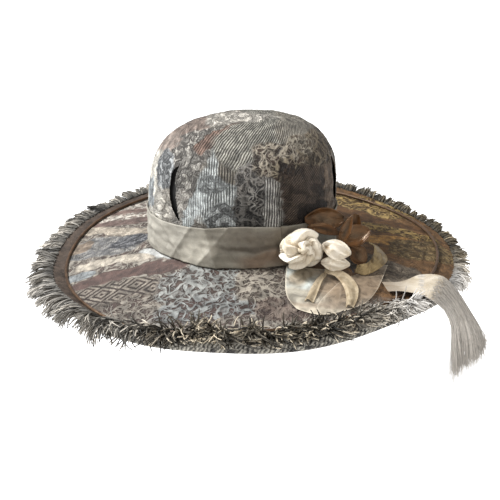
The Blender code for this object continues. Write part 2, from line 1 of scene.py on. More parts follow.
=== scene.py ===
"""The looks of the sun hat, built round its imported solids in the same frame.

Lengths in the tables are millimetres and angles are degrees; meshes are made in metres, +Z up. The
origin is the centre of the head opening. Angle 0 is +X and the trims are between -20 and -60.
"""

from __future__ import annotations

import logging
import math
import random
from collections.abc import Callable, Iterable, Iterator, Sequence
from dataclasses import dataclass
from enum import Enum
from typing import Any, NamedTuple

import bmesh
import bpy
import numpy as np
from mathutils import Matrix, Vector, noise

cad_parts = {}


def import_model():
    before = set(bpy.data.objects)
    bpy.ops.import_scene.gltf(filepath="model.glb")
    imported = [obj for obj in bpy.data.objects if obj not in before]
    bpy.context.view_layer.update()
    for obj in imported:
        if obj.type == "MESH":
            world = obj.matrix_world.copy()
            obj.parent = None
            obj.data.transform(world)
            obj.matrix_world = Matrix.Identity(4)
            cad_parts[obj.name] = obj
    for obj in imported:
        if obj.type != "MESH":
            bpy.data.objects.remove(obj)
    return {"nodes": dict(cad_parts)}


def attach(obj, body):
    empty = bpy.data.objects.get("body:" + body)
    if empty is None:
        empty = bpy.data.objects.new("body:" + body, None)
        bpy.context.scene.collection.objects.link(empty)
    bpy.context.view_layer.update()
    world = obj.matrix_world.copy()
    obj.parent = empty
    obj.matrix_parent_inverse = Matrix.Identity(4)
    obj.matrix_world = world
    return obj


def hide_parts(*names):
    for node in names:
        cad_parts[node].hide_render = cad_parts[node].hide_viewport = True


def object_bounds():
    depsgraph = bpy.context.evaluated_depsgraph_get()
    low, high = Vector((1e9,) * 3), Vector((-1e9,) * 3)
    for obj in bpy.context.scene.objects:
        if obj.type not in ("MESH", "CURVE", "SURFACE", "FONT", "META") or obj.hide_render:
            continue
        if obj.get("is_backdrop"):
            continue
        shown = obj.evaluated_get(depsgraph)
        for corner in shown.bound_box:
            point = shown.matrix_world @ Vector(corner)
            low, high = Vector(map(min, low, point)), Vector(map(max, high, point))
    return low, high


LOG = logging.getLogger("sun_hat")
MM = 0.001
TURN = 2 * math.pi
Surface = Callable[[float, float], Vector]


class Held(Enum):
    DRAPED = "draped"
    FOLDED = "folded"
    LAID = "laid"
    STRETCHED = "stretched"


# Sums for shapes


def spline(before: float, first: float, second: float, after: float, part: float) -> float:
    """Catmull-Rom value at the given part of the way from first to second.

    Args:
        before, first, second, after: four values in a row.
        part: 0 at first, 1 at second.

    Returns:
        The value there.
    """
    linear = (second - before) * part
    square = (2 * before - 5 * first + 4 * second - after) * part**2
    cube = (3 * first - before - 3 * second + after) * part**3
    return first + 0.5 * (linear + square + cube)


def along(rows: Sequence[Any], fraction: float) -> Any:
    """A table's row at a fraction of its length, smooth through every row.

    Args:
        rows: the table, whose rows are named tuples.
        fraction: 0 at its first row, 1 at its last.

    Returns:
        A row of the same kind.
    """
    place = min(max(fraction, 0.0), 1.0) * (len(rows) - 1)
    start = min(int(place), len(rows) - 2)
    near = [rows[min(max(start + step, 0), len(rows) - 1)] for step in (-1, 0, 1, 2)]
    return type(rows[0])(*(spline(*column, place - start) for column in zip(*near)))


def around(rows: Sequence[Any], angle: float) -> Any:
    """A row of a table of even steps round the hat, read at an angle.

    Args:
        rows: the table, from +X round to +Y.
        angle: degrees round the hat.

    Returns:
        A row of the same kind.
    """
    place = (angle % 360) / 360 * len(rows)
    start = int(place)
    near = [rows[(start + step) % len(rows)] for step in (-1, 0, 1, 2)]
    return type(rows[0])(*(spline(*column, place - start) for column in zip(*near)))


def ramp(value: float, start: float, end: float) -> float:
    """0 before start, 1 after end, and a smooth rise between."""
    part = min(max((value - start) / (end - start), 0.0), 1.0)
    return part * part * (3 - 2 * part)


def bell(value: float, spread: float) -> float:
    """1 at nought, falling off smoothly over the spread."""
    return math.exp(-((value / spread) ** 2))


def turn_between(angle: float, other: float) -> float:
    """The signed turn in degrees from the other angle to this one."""
    return (angle - other + 180) % 360 - 180


def polar(radius: float, angle: float, height: float = 0.0) -> Vector:
    """The point at a radius and an angle round the hat."""
    turn = math.radians(angle)
    return Vector((radius * math.cos(turn), radius * math.sin(turn), height))


def rough(place: Vector, size: float, seed: float = 0.0) -> float:
    """Smooth noise from -1 to 1 at a place, with bumps of the given size in the same unit."""
    return noise.noise(place / size + Vector((seed, seed * 1.7, -seed)))


def linear(code: str) -> tuple[float, float, float]:
    """An sRGB hex colour as linear red, green and blue."""
    parts = (int(code[at : at + 2], 16) / 255 for at in (1, 3, 5))
    return tuple(part / 12.92 if part <= 0.04045 else ((part + 0.055) / 1.055) ** 2.4 for part in parts)


# Forms that the pieces are laid on, the same as the solids'


class CrownSection(NamedTuple):
    """One level of the crown: its height, half sizes and the shift of its centre along X."""

    height: float
    half_length: float
    half_width: float
    shift: float


class Ridge(NamedTuple):
    """A ridge or hollow of the crown's foot."""

    angle: float
    out: float
    spread: float


@dataclass(frozen=True)
class CrownForm:
    """The outer face of the crown, with its tuck and dent."""

    sections: tuple[CrownSection, ...] = (
        CrownSection(0.0, 94.7, 88.0, 0.0),
        CrownSection(24.0, 95.4, 88.0, 0.0),
        CrownSection(48.0, 96.0, 87.5, 0.5),
        CrownSection(69.0, 94.3, 85.5, 1.5),
        CrownSection(88.0, 90.0, 81.5, 2.8),
        CrownSection(105.0, 79.0, 72.0, 4.5),
        CrownSection(117.0, 62.5, 57.0, 7.5),
        CrownSection(124.5, 40.0, 37.0, 11.0),
        CrownSection(127.3, 0.0, 0.0, 13.5),
    )
    ridges: tuple[Ridge, ...] = (
        Ridge(-112.0, 2.4, 9.0),
        Ridge(-136.0, -1.6, 14.0),
        Ridge(-88.0, -0.8, 12.0),
        Ridge(40.0, 1.2, 20.0),
        Ridge(120.0, 1.2, 20.0),
    )
    ridge_fade: float = 90.0
    front_dip: float = 3.0
    dip_fade: float = 70.0
    crowding: float = 0.6
    tuck_at: float = -65.0
    tuck_lean: float = -0.09
    tuck_proud: float = 3.0
    tuck_sunk: float = -6.0
    proud_spread: float = 12.0
    sunk_spread: float = 15.0
    tuck_step: float = 1.2
    tuck_start: float = 18.0
    tuck_full: float = 34.0
    tuck_fade: float = 62.0
    tuck_end: float = 90.0
    dent_angle: float = -61.0
    dent_height: float = 64.0
    dent_depth: float = -3.5
    dent_spread: float = 7.0
    dent_tall: float = 9.0

    def foot_dip(self, angle: float) -> float:
        """How far the crown's foot dips at the front."""
        return self.front_dip * max(-math.sin(math.radians(angle)), 0.0)

    def tuck_angle(self, height: float) -> float:
        """Where the leaning line of the tuck is at a height."""
        return self.tuck_at + self.tuck_lean * (height - self.tuck_full)

    def tuck_relief(self, angle: float, height: float) -> float:
        """The proud side, the step and the sunk side of the front tuck, and the dent above it.

        Args:
            angle: degrees round the hat.
            height: height above the crown's foot, in millimetres.

        Returns:
            How far the cloth stands out, in millimetres.
        """
        from_tuck = turn_between(angle, self.tuck_angle(height))
        rising = ramp(height, self.tuck_start, self.tuck_full)
        strength = rising * (1 - ramp(height, self.tuck_fade, self.tuck_end))
        proud = self.tuck_proud * bell(from_tuck, self.proud_spread)
        sunk = self.tuck_sunk * bell(from_tuck, self.sunk_spread)
        side = ramp(from_tuck, -self.tuck_step, self.tuck_step)
        dent = self.dent_depth * bell(turn_between(angle, self.dent_angle), self.dent_spread)
        dent *= bell(height - self.dent_height, self.dent_tall)
        return strength * (proud + (sunk - proud) * side) + dent

    def point(self, angle: float, level: float, relief: float = 1.0) -> Vector:
        """A point of the outer face.

        Args:
            angle: degrees round the hat.
            level: 0 at the foot, 1 at the top.
            relief: how much of the tuck and dent to keep.

        Returns:
            The point in millimetres.
        """
        row = along(self.sections, level)
        long, wide = max(row.half_length, 0.0), max(row.half_width, 0.0)
        turn = math.radians(angle)
        across = math.hypot(wide * math.cos(turn), long * math.sin(turn))
        radius = long * wide / across if across else 0.0
        out = sum(ridge.out * bell(turn_between(angle, ridge.angle), ridge.spread) for ridge in self.ridges)
        radius += out * (1 - ramp(row.height, 0, self.ridge_fade))
        radius += relief * self.tuck_relief(angle, row.height)
        dip = self.foot_dip(angle) * (1 - ramp(row.height, 0, self.dip_fade))
        return polar(radius, angle, row.height - dip) + Vector((row.shift, 0, 0))

    def level(self, height: float) -> float:
        """The level of the crown at a height.

        Args:
            height: height above the crown's foot, in millimetres.

        Returns:
            0 at the foot, 1 at the top.
        """
        low, high = 0.0, 1.0
        while high - low > 1e-4:
            middle = (low + high) / 2
            below = along(self.sections, middle).height < height
            low, high = (middle, high) if below else (low, middle)
        return low

    def column(self, part: float, height: float) -> float:
        """The angle of a column of cloth: columns crowd together at the tuck and lean with it."""
        crowded = part - self.crowding * math.sin(TURN * part) / TURN
        return self.tuck_angle(height) + 360 * crowded

    def foot(self, angle: float) -> float:
        """Radius of the outer face at its foot."""
        return self.point(angle, 0.0).xy.length


class RimStation(NamedTuple):
    """How far the piping lies below the crown's foot, and how far the rim rises from there."""

    drop: float
    rise: float


@dataclass(frozen=True)
class BrimForm:
    """The upper face of the brim, round the crown's foot."""

    crown: CrownForm
    stations: tuple[RimStation, ...] = (
        RimStation(13.0, -7.0),
        RimStation(4.0, 1.0),
        RimStation(1.0, 8.0),
        RimStation(5.0, 2.0),
        RimStation(28.0, 2.0),
        RimStation(40.0, 9.0),
        RimStation(31.0, -1.0),
        RimStation(22.0, 1.0),
    )
    half_length: float = 209.0
    half_width: float = 194.0
    shift_x: float = 11.5
    shift_y: float = -3.0
    piping_at: float = 0.845
    sag_power: float = 1.08
    wave_height: float = 1.4
    wave_count: int = 7
    wave_turn: float = 40.0

    def rim(self, angle: float) -> float:
        """Distance from the origin to the rim, an ellipse whose centre is shifted from the crown's.

        Args:
            angle: degrees round the hat.

        Returns:
            The distance, in millimetres.
        """
        turn = math.radians(angle)
        along_x, along_y = math.cos(turn) / self.half_length, math.sin(turn) / self.half_width
        shift_x, shift_y = self.shift_x / self.half_length, self.shift_y / self.half_width
        square = along_x**2 + along_y**2
        middle = along_x * shift_x + along_y * shift_y
        return (middle + math.sqrt(middle**2 - square * (shift_x**2 + shift_y**2 - 1))) / square

    def height(self, angle: float, place: float) -> float:
        """Height of the upper face; place runs from 0 at the crown's foot to 1 at the rim.

        Args:
            angle: degrees round the hat.
            place: the part of the way out to the rim.

        Returns:
            The height, in millimetres.
        """
        station = around(self.stations, angle)
        sag = station.drop * (min(max(place, 0.0), self.piping_at) / self.piping_at) ** self.sag_power
        curl = station.rise * max((place - self.piping_at) / (1 - self.piping_at), 0.0)
        wave = self.wave_height * place**2 * math.sin(math.radians(self.wave_count * angle + self.wave_turn))
        return wave - sag + curl - self.crown.foot_dip(angle) * (1 - place)

    def point(self, angle: float, place: float, lift: float = 0.0) -> Vector:
        """A point over the upper face, in millimetres."""
        foot = self.crown.foot(angle)
        return polar(foot + (self.rim(angle) - foot) * place, angle, self.height(angle, place) + lift)

    def over(self, x: float, y: float, lift: float = 0.0) -> Vector:
        """The point over the upper face at x and y, in millimetres.

        Args:
            x: place towards the right.
            y: place towards the back.
            lift: height over the face.

        Returns:
            The point, in millimetres.
        """
        angle = math.degrees(math.atan2(y, x))
        foot = self.crown.foot(angle)
        return self.point(angle, (math.hypot(x, y) - foot) / (self.rim(angle) - foot), lift)


# Meshes


@dataclass(frozen=True)
class Sheet:
    """A grid of cloth laid on a surface, with what its finish reads at each of its points."""

    name: str
    columns: int
    rows: int
    surface: Surface
    wall: float = 1.0
    wide: float = 100.0
    tall: float = 100.0

    def build(self) -> bpy.types.Object:
        """Makes the object, smooth-shaded, with cloth_at holding metres along and across the cloth.

        Returns:
            The object.
        """
        grid = bmesh.new()
        bmesh.ops.create_grid(grid, x_segments=self.columns, y_segments=self.rows, size=1)
        parts = [((vertex.co.x + 1) / 2, (vertex.co.y + 1) / 2) for vertex in grid.verts]
        for vertex, (across, up) in zip(grid.verts, parts):
            vertex.co = self.surface(across, up) * MM
        piece = to_object(self.name, grid)
        places = [(across * self.wide * MM, up * self.tall * MM, 0.0) for across, up in parts]
        write_points(piece, "cloth_at", "FLOAT_VECTOR", places)
        if self.wall:
            modifier = piece.modifiers.new("wall", "SOLIDIFY")
            modifier.thickness = self.wall * MM
            modifier.offset = -1
        return piece


def linked(name: str, mesh: bpy.types.Mesh) -> bpy.types.Object:
    """A smooth-shaded object in the scene from a mesh.

    Args:
        name: the object's name.
        mesh: its mesh.

    Returns:
        The object.
    """
    mesh.name = name
    mesh.shade_smooth()
    piece = bpy.data.objects.new(name, mesh)
    bpy.context.scene.collection.objects.link(piece)
    return piece


def to_object(name: str, shape: bmesh.types.BMesh) -> bpy.types.Object:
    """An object from a bmesh whose points are in metres.

    Args:
        name: the object's name.
        shape: the bmesh, which is freed.

    Returns:
        The object.
    """
    mesh = bpy.data.meshes.new(name)
    shape.to_mesh(mesh)
    shape.free()
    return linked(name, mesh)


def write_points(piece: bpy.types.Object, name: str, kind: str, values: Any) -> None:
    """Stores one value for each point of a mesh under a name that a finish reads.

    Args:
        piece: the object of the mesh.
        name: the name that the finish reads.
        kind: the kind of the attribute.
        values: the values, one after the other.
    """
    attribute = piece.data.attributes.new(name, kind, "POINT")
    field = {"FLOAT": "value", "FLOAT_VECTOR": "vector", "FLOAT_COLOR": "color"}[kind]
    attribute.data.foreach_set(field, np.asarray(values, dtype=np.float32).ravel())


def read_points(data: Any, field: str) -> np.ndarray:
    """What each point of a mesh holds under a field, in millimetres, a row each.

    Args:
        data: the mesh's points or an attribute's data.
        field: the field's name.

    Returns:
        The array.
    """
    flat = np.empty(len(data) * 3, dtype=np.float32)
    data.foreach_get(field, flat)
    return (flat.reshape(-1, 3) / MM).astype(np.float64)


def points_of(piece: bpy.types.Object) -> np.ndarray:
    """The points of a mesh in millimetres, a row each."""
    return read_points(piece.data.vertices, "co")


def flat_of(piece: bpy.types.Object) -> np.ndarray:
    """Where each point of a piece lies across and along its cloth, in millimetres."""
    return read_points(piece.data.attributes["cloth_at"].data, "vector")[:, :2]


class Threads:
    """Threads of yarn, drawn as lines and then joined into one mesh."""

    def __init__(self, name: str, radius: float, points: int) -> None:
        """Starts with no threads.

        Args:
            name: the name of the piece that they make.
            radius: a thread's radius at its thickest, in millimetres.
            points: the number of points along each thread.
        """
        self.name = name
        self.points = points
        self.shades: list[tuple[float, ...]] = []
        self.curve = bpy.data.curves.new(name, "CURVE")
        self.curve.dimensions = "3D"
        self.curve.bevel_depth = radius * MM
        self.curve.bevel_resolution = 0

    def draw(self, path: Iterable[tuple[Vector, float]], shade: tuple[float, ...]) -> None:
        """Adds a thread.

        Args:
            path: the place of each of its points, in millimetres, and its share of the radius there.
            shade: the thread's colour.
        """
        line = self.curve.splines.new("POLY")
        line.points.add(self.points - 1)
        for point, (place, share) in zip(line.points, path):
            point.co = (*(place * MM), 1.0)
            point.radius = share
        self.shades.append(shade)

    def build(self, light: Sequence[float]) -> bpy.types.Object:
        """Joins the threads.

        Args:
            light: how light every thread is at each of its points.

        Returns:
            The piece, with the threads' colours under the name shade.
        """
        source = bpy.data.objects.new(self.name, self.curve)
        bpy.context.scene.collection.objects.link(source)
        graph = bpy.context.evaluated_depsgraph_get()
        mesh = bpy.data.meshes.new_from_object(source.evaluated_get(graph))
        bpy.data.objects.remove(source)
        piece = linked(self.name, mesh)
        each = len(mesh.vertices) // len(self.shades) // self.points
        rows = np.repeat(np.array(self.shades), self.points * each, axis=0)
        rows[:, :3] *= np.tile(np.repeat(light, each), len(self.shades))[:, None]
        write_points(piece, "shade", "FLOAT_COLOR", rows)
        return piece


def dress(piece: bpy.types.Object, material: bpy.types.Material) -> None:
    """Gives a piece its one material."""
    piece.data.materials.clear()
    piece.data.materials.append(material)


@dataclass(frozen=True)
class Role:
    slot: str
    replaces: tuple[str, ...]
    flat: tuple[float, float] | None = None
    held: Held = Held.LAID
    rests_on: tuple[str, ...] = ()
    area: float | None = None

    def enrol(self, piece: bpy.types.Object, material: bpy.types.Material) -> None:
        """Args:
            piece: the finished piece.
            material: its finish.
        """
        dress(piece, material)
        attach(piece, "root")
        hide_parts(*self.replaces)
        if self.flat:
            list(self.rests_on)
        LOG.info("%s: %d points", piece.name, len(getattr(piece.data, "vertices", ())))


# Patchwork: where each colour and weave of the cloth lies


LYING = 90.0


class Patch(NamedTuple):
    """A patch of cloth, seen from the front.

    Its middle is at x and at rise, which is its height plus how far back it lies, as the cloth leans.
    The four shares say how much of each weave it has: raised curls, upright ribs, slanting ribs and
    fine slanting lines.
    """

    x: float
    rise: float
    half_x: float
    half_rise: float
    turn: float
    ground: str
    yarn: str
    curls: float
    upright: float = 0.0
    slant: float = 0.0
    lines: float = 0.0


@dataclass(frozen=True)
class Patchwork:
    """Lays patches over one another, each with a ragged edge.

    The cloth leans back by so many degrees where the patches are, or is LYING on the brim.
    """

    patches: tuple[Patch, ...]
    lean: float = 20.0
    warp_wide: float = 20.0
    warp_depth: float = 4.0
    fine_wide: float = 5.0
    fine_depth: float = 3.0
    edge: float = 0.06
    squareness: float = 3.0
    muted: float = 0.2

    def colours(self, places: np.ndarray) -> np.ndarray:
        """Ten numbers for each place: ground and yarn colour, then the four shares of weave.

        Args:
            places: points in millimetres, a row each.

        Returns:
            An array with a row for each place.
        """
        lean = math.radians(self.lean)
        depth = places[:, 1] if self.lean == LYING else -np.abs(places[:, 1])
        warp = np.array([self.warp(Vector(place)) for place in places])
        across = places[:, 0] + warp[:, 0]
        rise = places[:, 2] * math.cos(lean) + depth * math.sin(lean) + warp[:, 1]
        found = np.tile(self.row(self.patches[0]), (len(places), 1))
        for patch in self.patches[1:]:
            turn = math.radians(patch.turn)
            away_x, away_rise = across - patch.x, rise - patch.rise
            along_x = np.abs(away_x * math.cos(turn) + away_rise * math.sin(turn)) / patch.half_x
            along_rise = np.abs(away_rise * math.cos(turn) - away_x * math.sin(turn)) / patch.half_rise
            far = (along_x**self.squareness + along_rise**self.squareness) ** (1 / self.squareness)
            share = np.clip((1 + self.edge - far) / (2 * self.edge), 0, 1)[:, None]
            found += (self.row(patch) - found) * share
        return found

    def row(self, patch: Patch) -> np.ndarray:
        """The ten numbers of a patch.

        Args:
            patch: its row of the table.

        Returns:
            Ground, yarn and four shares of weave.
        """
        shares = (patch.curls, patch.upright, patch.slant, patch.lines)
        pair = np.array((linear(patch.ground), linear(patch.yarn)))
        pair += (pair.mean(axis=1, keepdims=True) - pair) * self.muted
        return np.array((*pair.ravel(), *shares))

    def warp(self, place: Vector) -> tuple[float, float]:
        """How far the patches' edges stray at a place, in millimetres.

        Args:
            place: the place on the hat, in millimetres.

        Returns:
            The way across and up.
        """
        wide = [rough(place, self.warp_wide, seed) * self.warp_depth for seed in (3.1, 7.7)]
        fine = [rough(place, self.fine_wide, seed) * self.fine_depth for seed in (5.3, 9.1)]
        return wide[0] + fine[0], wide[1] + fine[1]


def write_cloth(piece: bpy.types.Object, found: np.ndarray, cloth_at: np.ndarray) -> None:
    """Stores a patchwork on a piece.

    Args:
        piece: the cloth.
        found: ten numbers for each of its points, as Patchwork.colours gives them.
        cloth_at: where each point lies along and across the cloth, in millimetres, and where a cloth has
            more than one, in which slice of its pattern.
    """
    opaque = np.ones((len(found), 1))
    write_points(piece, "ground", "FLOAT_COLOR", np.hstack((found[:, 0:3], opaque)))
    write_points(piece, "yarn", "FLOAT_COLOR", np.hstack((found[:, 3:6], opaque)))
    write_points(piece, "weave", "FLOAT_COLOR", found[:, 6:10])
    flat = np.zeros((len(found), 3))
    flat[:, : cloth_at.shape[1]] = cloth_at * MM
    piece.data.attributes["cloth_at"].data.foreach_set("vector", flat.ravel())


# Finishes


class Graph:
    """A material's node tree."""

    def __init__(self, name: str) -> None:
        """Starts an empty tree in a new material of that name.

        Args:
            name: the material's name.
        """
        self.material = bpy.data.materials.new(name)
        self.material.use_nodes = True
        self.tree = self.material.node_tree
        self.tree.nodes.clear()

    def add(self, kind: str, inputs: dict[Any, Any] | None = None, out: Any = 0, **settings: Any) -> Any:
        """Adds a node.

        Args:
            kind: the node's type, without ShaderNode.
            inputs: values and sockets for its inputs, by name or number.
            out: name or number of the output that is wanted.
            **settings: the node's own settings.

        Returns:
            The wanted output socket, or None where the node has none.
        """
        node = self.tree.nodes.new("ShaderNode" + kind)
        for name, value in settings.items():
            setattr(node, name, value)
        for key, value in (inputs or {}).items():
            if isinstance(value, bpy.types.NodeSocket):
                self.tree.links.new(value, node.inputs[key])
            else:
                node.inputs[key].default_value = value
        return node.outputs[out] if node.outputs else None

    def read(self, name: str, out: str = "Color") -> Any:
        """What the mesh holds at its points under a name."""
        return self.add("Attribute", out=out, attribute_name=name)

    def mix(self, share: Any, first: Any, second: Any, blend: str = "MIX") -> Any:
        """Two colours mixed by a share of the second."""
        colours = {0: share, 6: as_colour(first), 7: as_colour(second)}
        return self.add("Mix", colours, out=2, data_type="RGBA", blend_type=blend)

    def calc(self, operation: str, *values: Any) -> Any:
        """The result of a sum on values or sockets."""
        return self.add("Math", dict(enumerate(values)), operation=operation)

    def times(self, first: Any, second: Any) -> Any:
        """The product of two values or sockets."""
        return self.calc("MULTIPLY", first, second)

    def plus(self, first: Any, second: Any) -> Any:
        """The sum of two values or sockets."""
        return self.calc("ADD", first, second)

    def wave(self, value: Any, pitch: float) -> Any:
        """A sine wave along a value, its pitch in millimetres."""
        return self.calc("SINE", self.times(value, TURN / (pitch * MM)))

    def span(self, value: Any, low: float, high: float, start: float = 0.0, end: float = 1.0) -> Any:
        """A value brought from the span low to high into the span start to end."""
        return self.add("MapRange", {0: value, 1: low, 2: high, 3: start, 4: end})

    def mottled(self, colour: Any, mottle: Any, reach: float, darker: float, lighter: float) -> Any:
        """A colour made darker and lighter by the shares given, where a noise is a reach from its mean.

        Args:
            colour: the colour or its socket.
            mottle: the noise, about 0.5.
            reach: how far the noise strays.
            darker: the most that it darkens, as a share.
            lighter: the most that it lightens, as a share.

        Returns:
            The output socket.
        """
        value = self.span(mottle, 0.5 - reach, 0.5 + reach, 1 - darker, 1 + lighter)
        grey = self.add("CombineColor", {0: value, 1: value, 2: value})
        return self.mix(1.0, colour, grey, "MULTIPLY")

    def noise(self, at: Any, size: float, detail: float = 2.0, distortion: float = 0.0) -> Any:
        """Smooth noise about 0.5 with bumps of a size in millimetres."""
        inputs = {"Vector": at, "Scale": 1 / (size * MM), "Detail": detail, "Distortion": distortion}
        return self.add("TexNoise", inputs)

    def finish(self, colour: Any, height: Any, depth: float, **surface: Any) -> bpy.types.Material:
        """Ends the tree in one Principled surface with a bump.

        Args:
            colour: base colour, a socket or an sRGB code.
            height: the bump's height from 0 to 1.
            depth: what a height of 1 is in millimetres.
            **surface: inputs of the Principled surface, with _ for a space.

        Returns:
            The material.
        """
        bump = self.add("Bump", {"Height": height, "Distance": depth * MM, "Strength": 1.0})
        inputs = {name.replace("_", " "): value for name, value in surface.items()}
        inputs["Base Color"] = as_colour(colour)
        inputs["Normal"] = bump
        shader = self.add("BsdfPrincipled", inputs)
        self.add("OutputMaterial", {"Surface": shader})
        return self.material


def as_colour(colour: Any) -> Any:
    """A socket as it is, or an sRGB code as a linear colour with full cover."""
    return (*linear(colour), 1.0) if isinstance(colour, str) else colour


@dataclass(frozen=True)
class Brocade:
    """Jacquard cloth with raised yarn: the eye gets curls, ribs with painted shade in their furrows, and a
    crinkled, matte face with painted shade and light on its crinkles.

    Sizes, pitches and depth are millimetres and turns are degrees. The rest are shares.
    """

    name: str
    curl: float = 9.0
    curl_line: float = 0.085
    small_curl: float = 0.55
    small_share: float = 0.6
    rib_turns: tuple[float, float, float] = (88.0, 64.0, 42.0)
    rib_pitches: tuple[float, float, float] = (2.6, 2.5, 2.3)
    rib_stray: float = 1.6
    stray_size: float = 16.0
    diamonds: bool = False
    diamond_size: tuple[float, float] = (34.0, 22.0)
    diamond_flat: float = 0.7
    diamond_pitch: float = 5.5
    drawn: float = 0.92
    depth: float = 2.8
    shadow: float = 0.55
    crumple: float = 1.5
    crumple_size: float = 9.0
    fine: float = 0.45
    fine_size: float = 1.3
    raised: float = 0.9
    sunk: float = 0.55

    def make(self) -> bpy.types.Material:
        """Builds the material from the cloth's own ground, yarn and weave.

        Returns:
            The material.
        """
        graph = Graph(self.name)
        at = graph.read("cloth_at", "Vector")
        weave = graph.read("weave")
        lines_share = weave.node.outputs["Alpha"]
        curls_share, upright, slant = graph.add("SeparateColor", {0: weave}).node.outputs[:3]
        small = graph.times(self.curls(graph, at, self.curl * self.small_curl), self.small_share)
        curls = graph.calc("MAXIMUM", self.curls(graph, at, self.curl), small)
        curls = graph.times(curls, curls_share)
        third = self.diamond(graph, at) if self.diamonds else self.ribs(graph, at, 2)
        ribs = graph.times(self.ribs(graph, at, 0), upright)
        for lines, share in ((self.ribs(graph, at, 1), slant), (third, lines_share)):
            ribs = graph.calc("MAXIMUM", ribs, graph.times(lines, share))
        mottle = graph.noise(at, self.crumple_size, 6.0, 0.6)
        fine = graph.noise(at, self.fine_size, 3.0)
        # Curls show the yarn's own colour and the brim's diamonds are the weave's own pattern. In the furrows
        # of the ribs the yarn colour is painted shade, and where it is lighter than the ground, as on the
        # crown's dark right panel, it is painted sheen.
        drawn = graph.times(graph.calc("MAXIMUM", curls, ribs), self.drawn)
        colour = graph.mix(drawn, graph.read("ground"), graph.read("yarn"))
        # Painted shade and light on the crinkles: the colour darkens in the mottle's hollows and lightens on
        # its tops, at two sizes.
        colour = graph.mottled(colour, mottle, 0.14, self.shadow, 0.6 * self.shadow)
        colour = graph.mottled(colour, fine, 0.2, 0.5 * self.shadow, 0.3 * self.shadow)
        height = graph.plus(graph.times(curls, self.raised), graph.times(mottle, self.crumple))
        height = graph.calc("SUBTRACT", height, graph.times(ribs, self.sunk))
        height = graph.plus(height, graph.times(fine, self.fine))
        return graph.finish(colour, height, self.depth, Roughness=0.62, Specular_IOR_Level=0.35)

    def curls(self, graph: Graph, at: Any, size: float) -> Any:
        """Lines of raised yarn that curl about, from the level lines of a noise.

        Args:
            graph: the tree.
            at: places on the cloth.
            size: a curl's size in millimetres.

        Returns:
            1 on the yarn, 0 beside it.
        """
        swirl = graph.noise(at, size, 0.6, 0.9)
        level = graph.calc("ABSOLUTE", graph.calc("SUBTRACT", swirl, 0.5))
        return graph.span(level, self.curl_line * 0.5, self.curl_line, 1.0, 0.0)

    def ribs(self, graph: Graph, at: Any, number: int) -> Any:
        """Fine ribs at one of the three turns: 1 in the furrows.

        Args:
            graph: the tree.
            at: places on the cloth.
            number: which of the three turns.

        Returns:
            The output socket.
        """
        angle = math.radians(90 - self.rib_turns[number])
        turned = graph.add("VectorRotate", {"Vector": at, "Angle": angle}, rotation_type="Z_AXIS")
        across = graph.add("SeparateXYZ", {0: turned})
        reach = self.rib_stray * MM
        stray = graph.span(graph.noise(at, self.stray_size), 0.0, 1.0, -reach, reach)
        return graph.span(graph.wave(graph.plus(across, stray), self.rib_pitches[number]), -0.5, 0.8)

    def diamond(self, graph: Graph, at: Any) -> Any:
        """Rows of nested diamonds: zigzag lines, each row the mirror of the next.

        Args:
            graph: the tree.
            at: places on the cloth.

        Returns:
            The output socket.
        """
        across, along_it = graph.add("SeparateXYZ", {0: at}).node.outputs[:2]
        wide, tall = self.diamond_size
        zig = graph.calc("PINGPONG", across, wide / 2 * MM)
        zag = graph.calc("PINGPONG", along_it, tall / 2 * MM)
        level = graph.plus(graph.times(zig, self.diamond_flat), zag)
        level = graph.plus(level, graph.times(graph.noise(at, 3.0), self.rib_stray * MM))
        return graph.span(graph.wave(level, self.diamond_pitch), 0.0, 0.5)


@dataclass(frozen=True)
class Satin:
    """Woven satin: the eye gets soft folds with painted shade in their hollows, painted shade in recesses,
    and a faint weave.

    The streak counts threads in a metre, and crease and depth are millimetres.
    """

    name: str
    light: str
    dark: str
    rough: float = 0.36
    shine: float = 0.5
    streak: float = 900.0
    long: float = 14.0
    cover: float = 1.0
    crease: float = 16.0
    depth: float = 1.0
    # Share of the painted fold shade.
    darkened: float = 0.7
    threaded: float = 0.3
    # Colour of the painted shade in recesses.
    hollow: str = "#1c130c"
    glint: str = "#d8bfa4"

    def make(self) -> bpy.types.Material:
        """Builds the material: its dark colour is painted shade in the hollows of a slow mottle, and a
        painted shade colour goes into recesses where the mesh asks for it.

        Returns:
            The material.
        """
        graph = Graph(self.name)
        at = graph.read("cloth_at", "Vector")
        mottle = graph.noise(at, self.crease, 4.0, 0.8)
        scale = (self.streak, self.streak / self.long, 1.0)
        drawn_out = graph.add("VectorMath", {0: at, 1: scale}, operation="MULTIPLY")
        thread = graph.add("TexNoise", {"Vector": drawn_out, "Scale": 1.0, "Detail": 2.0})
        # Painted fold shade: the mottle mixes the dark colour, a painted shade, into the light colour.
        share = graph.times(graph.span(mottle, 0.38, 0.68), self.darkened)
        share = graph.plus(share, graph.span(thread, 0.45, 0.75, 0.0, self.threaded))
        colour = graph.mix(graph.calc("MINIMUM", share, 1.0), self.light, self.dark)
        # Painted shade in recesses, as much as the mesh's value asks for.
        colour = graph.mix(graph.read("hollow", "Fac"), colour, self.hollow)
        surface = {"Roughness": self.rough, "Specular_IOR_Level": self.shine, "Alpha": self.cover}
        surface["Specular_Tint"] = as_colour(self.glint)
        return graph.finish(colour, graph.plus(graph.times(thread, 0.2), mottle), self.depth, **surface)


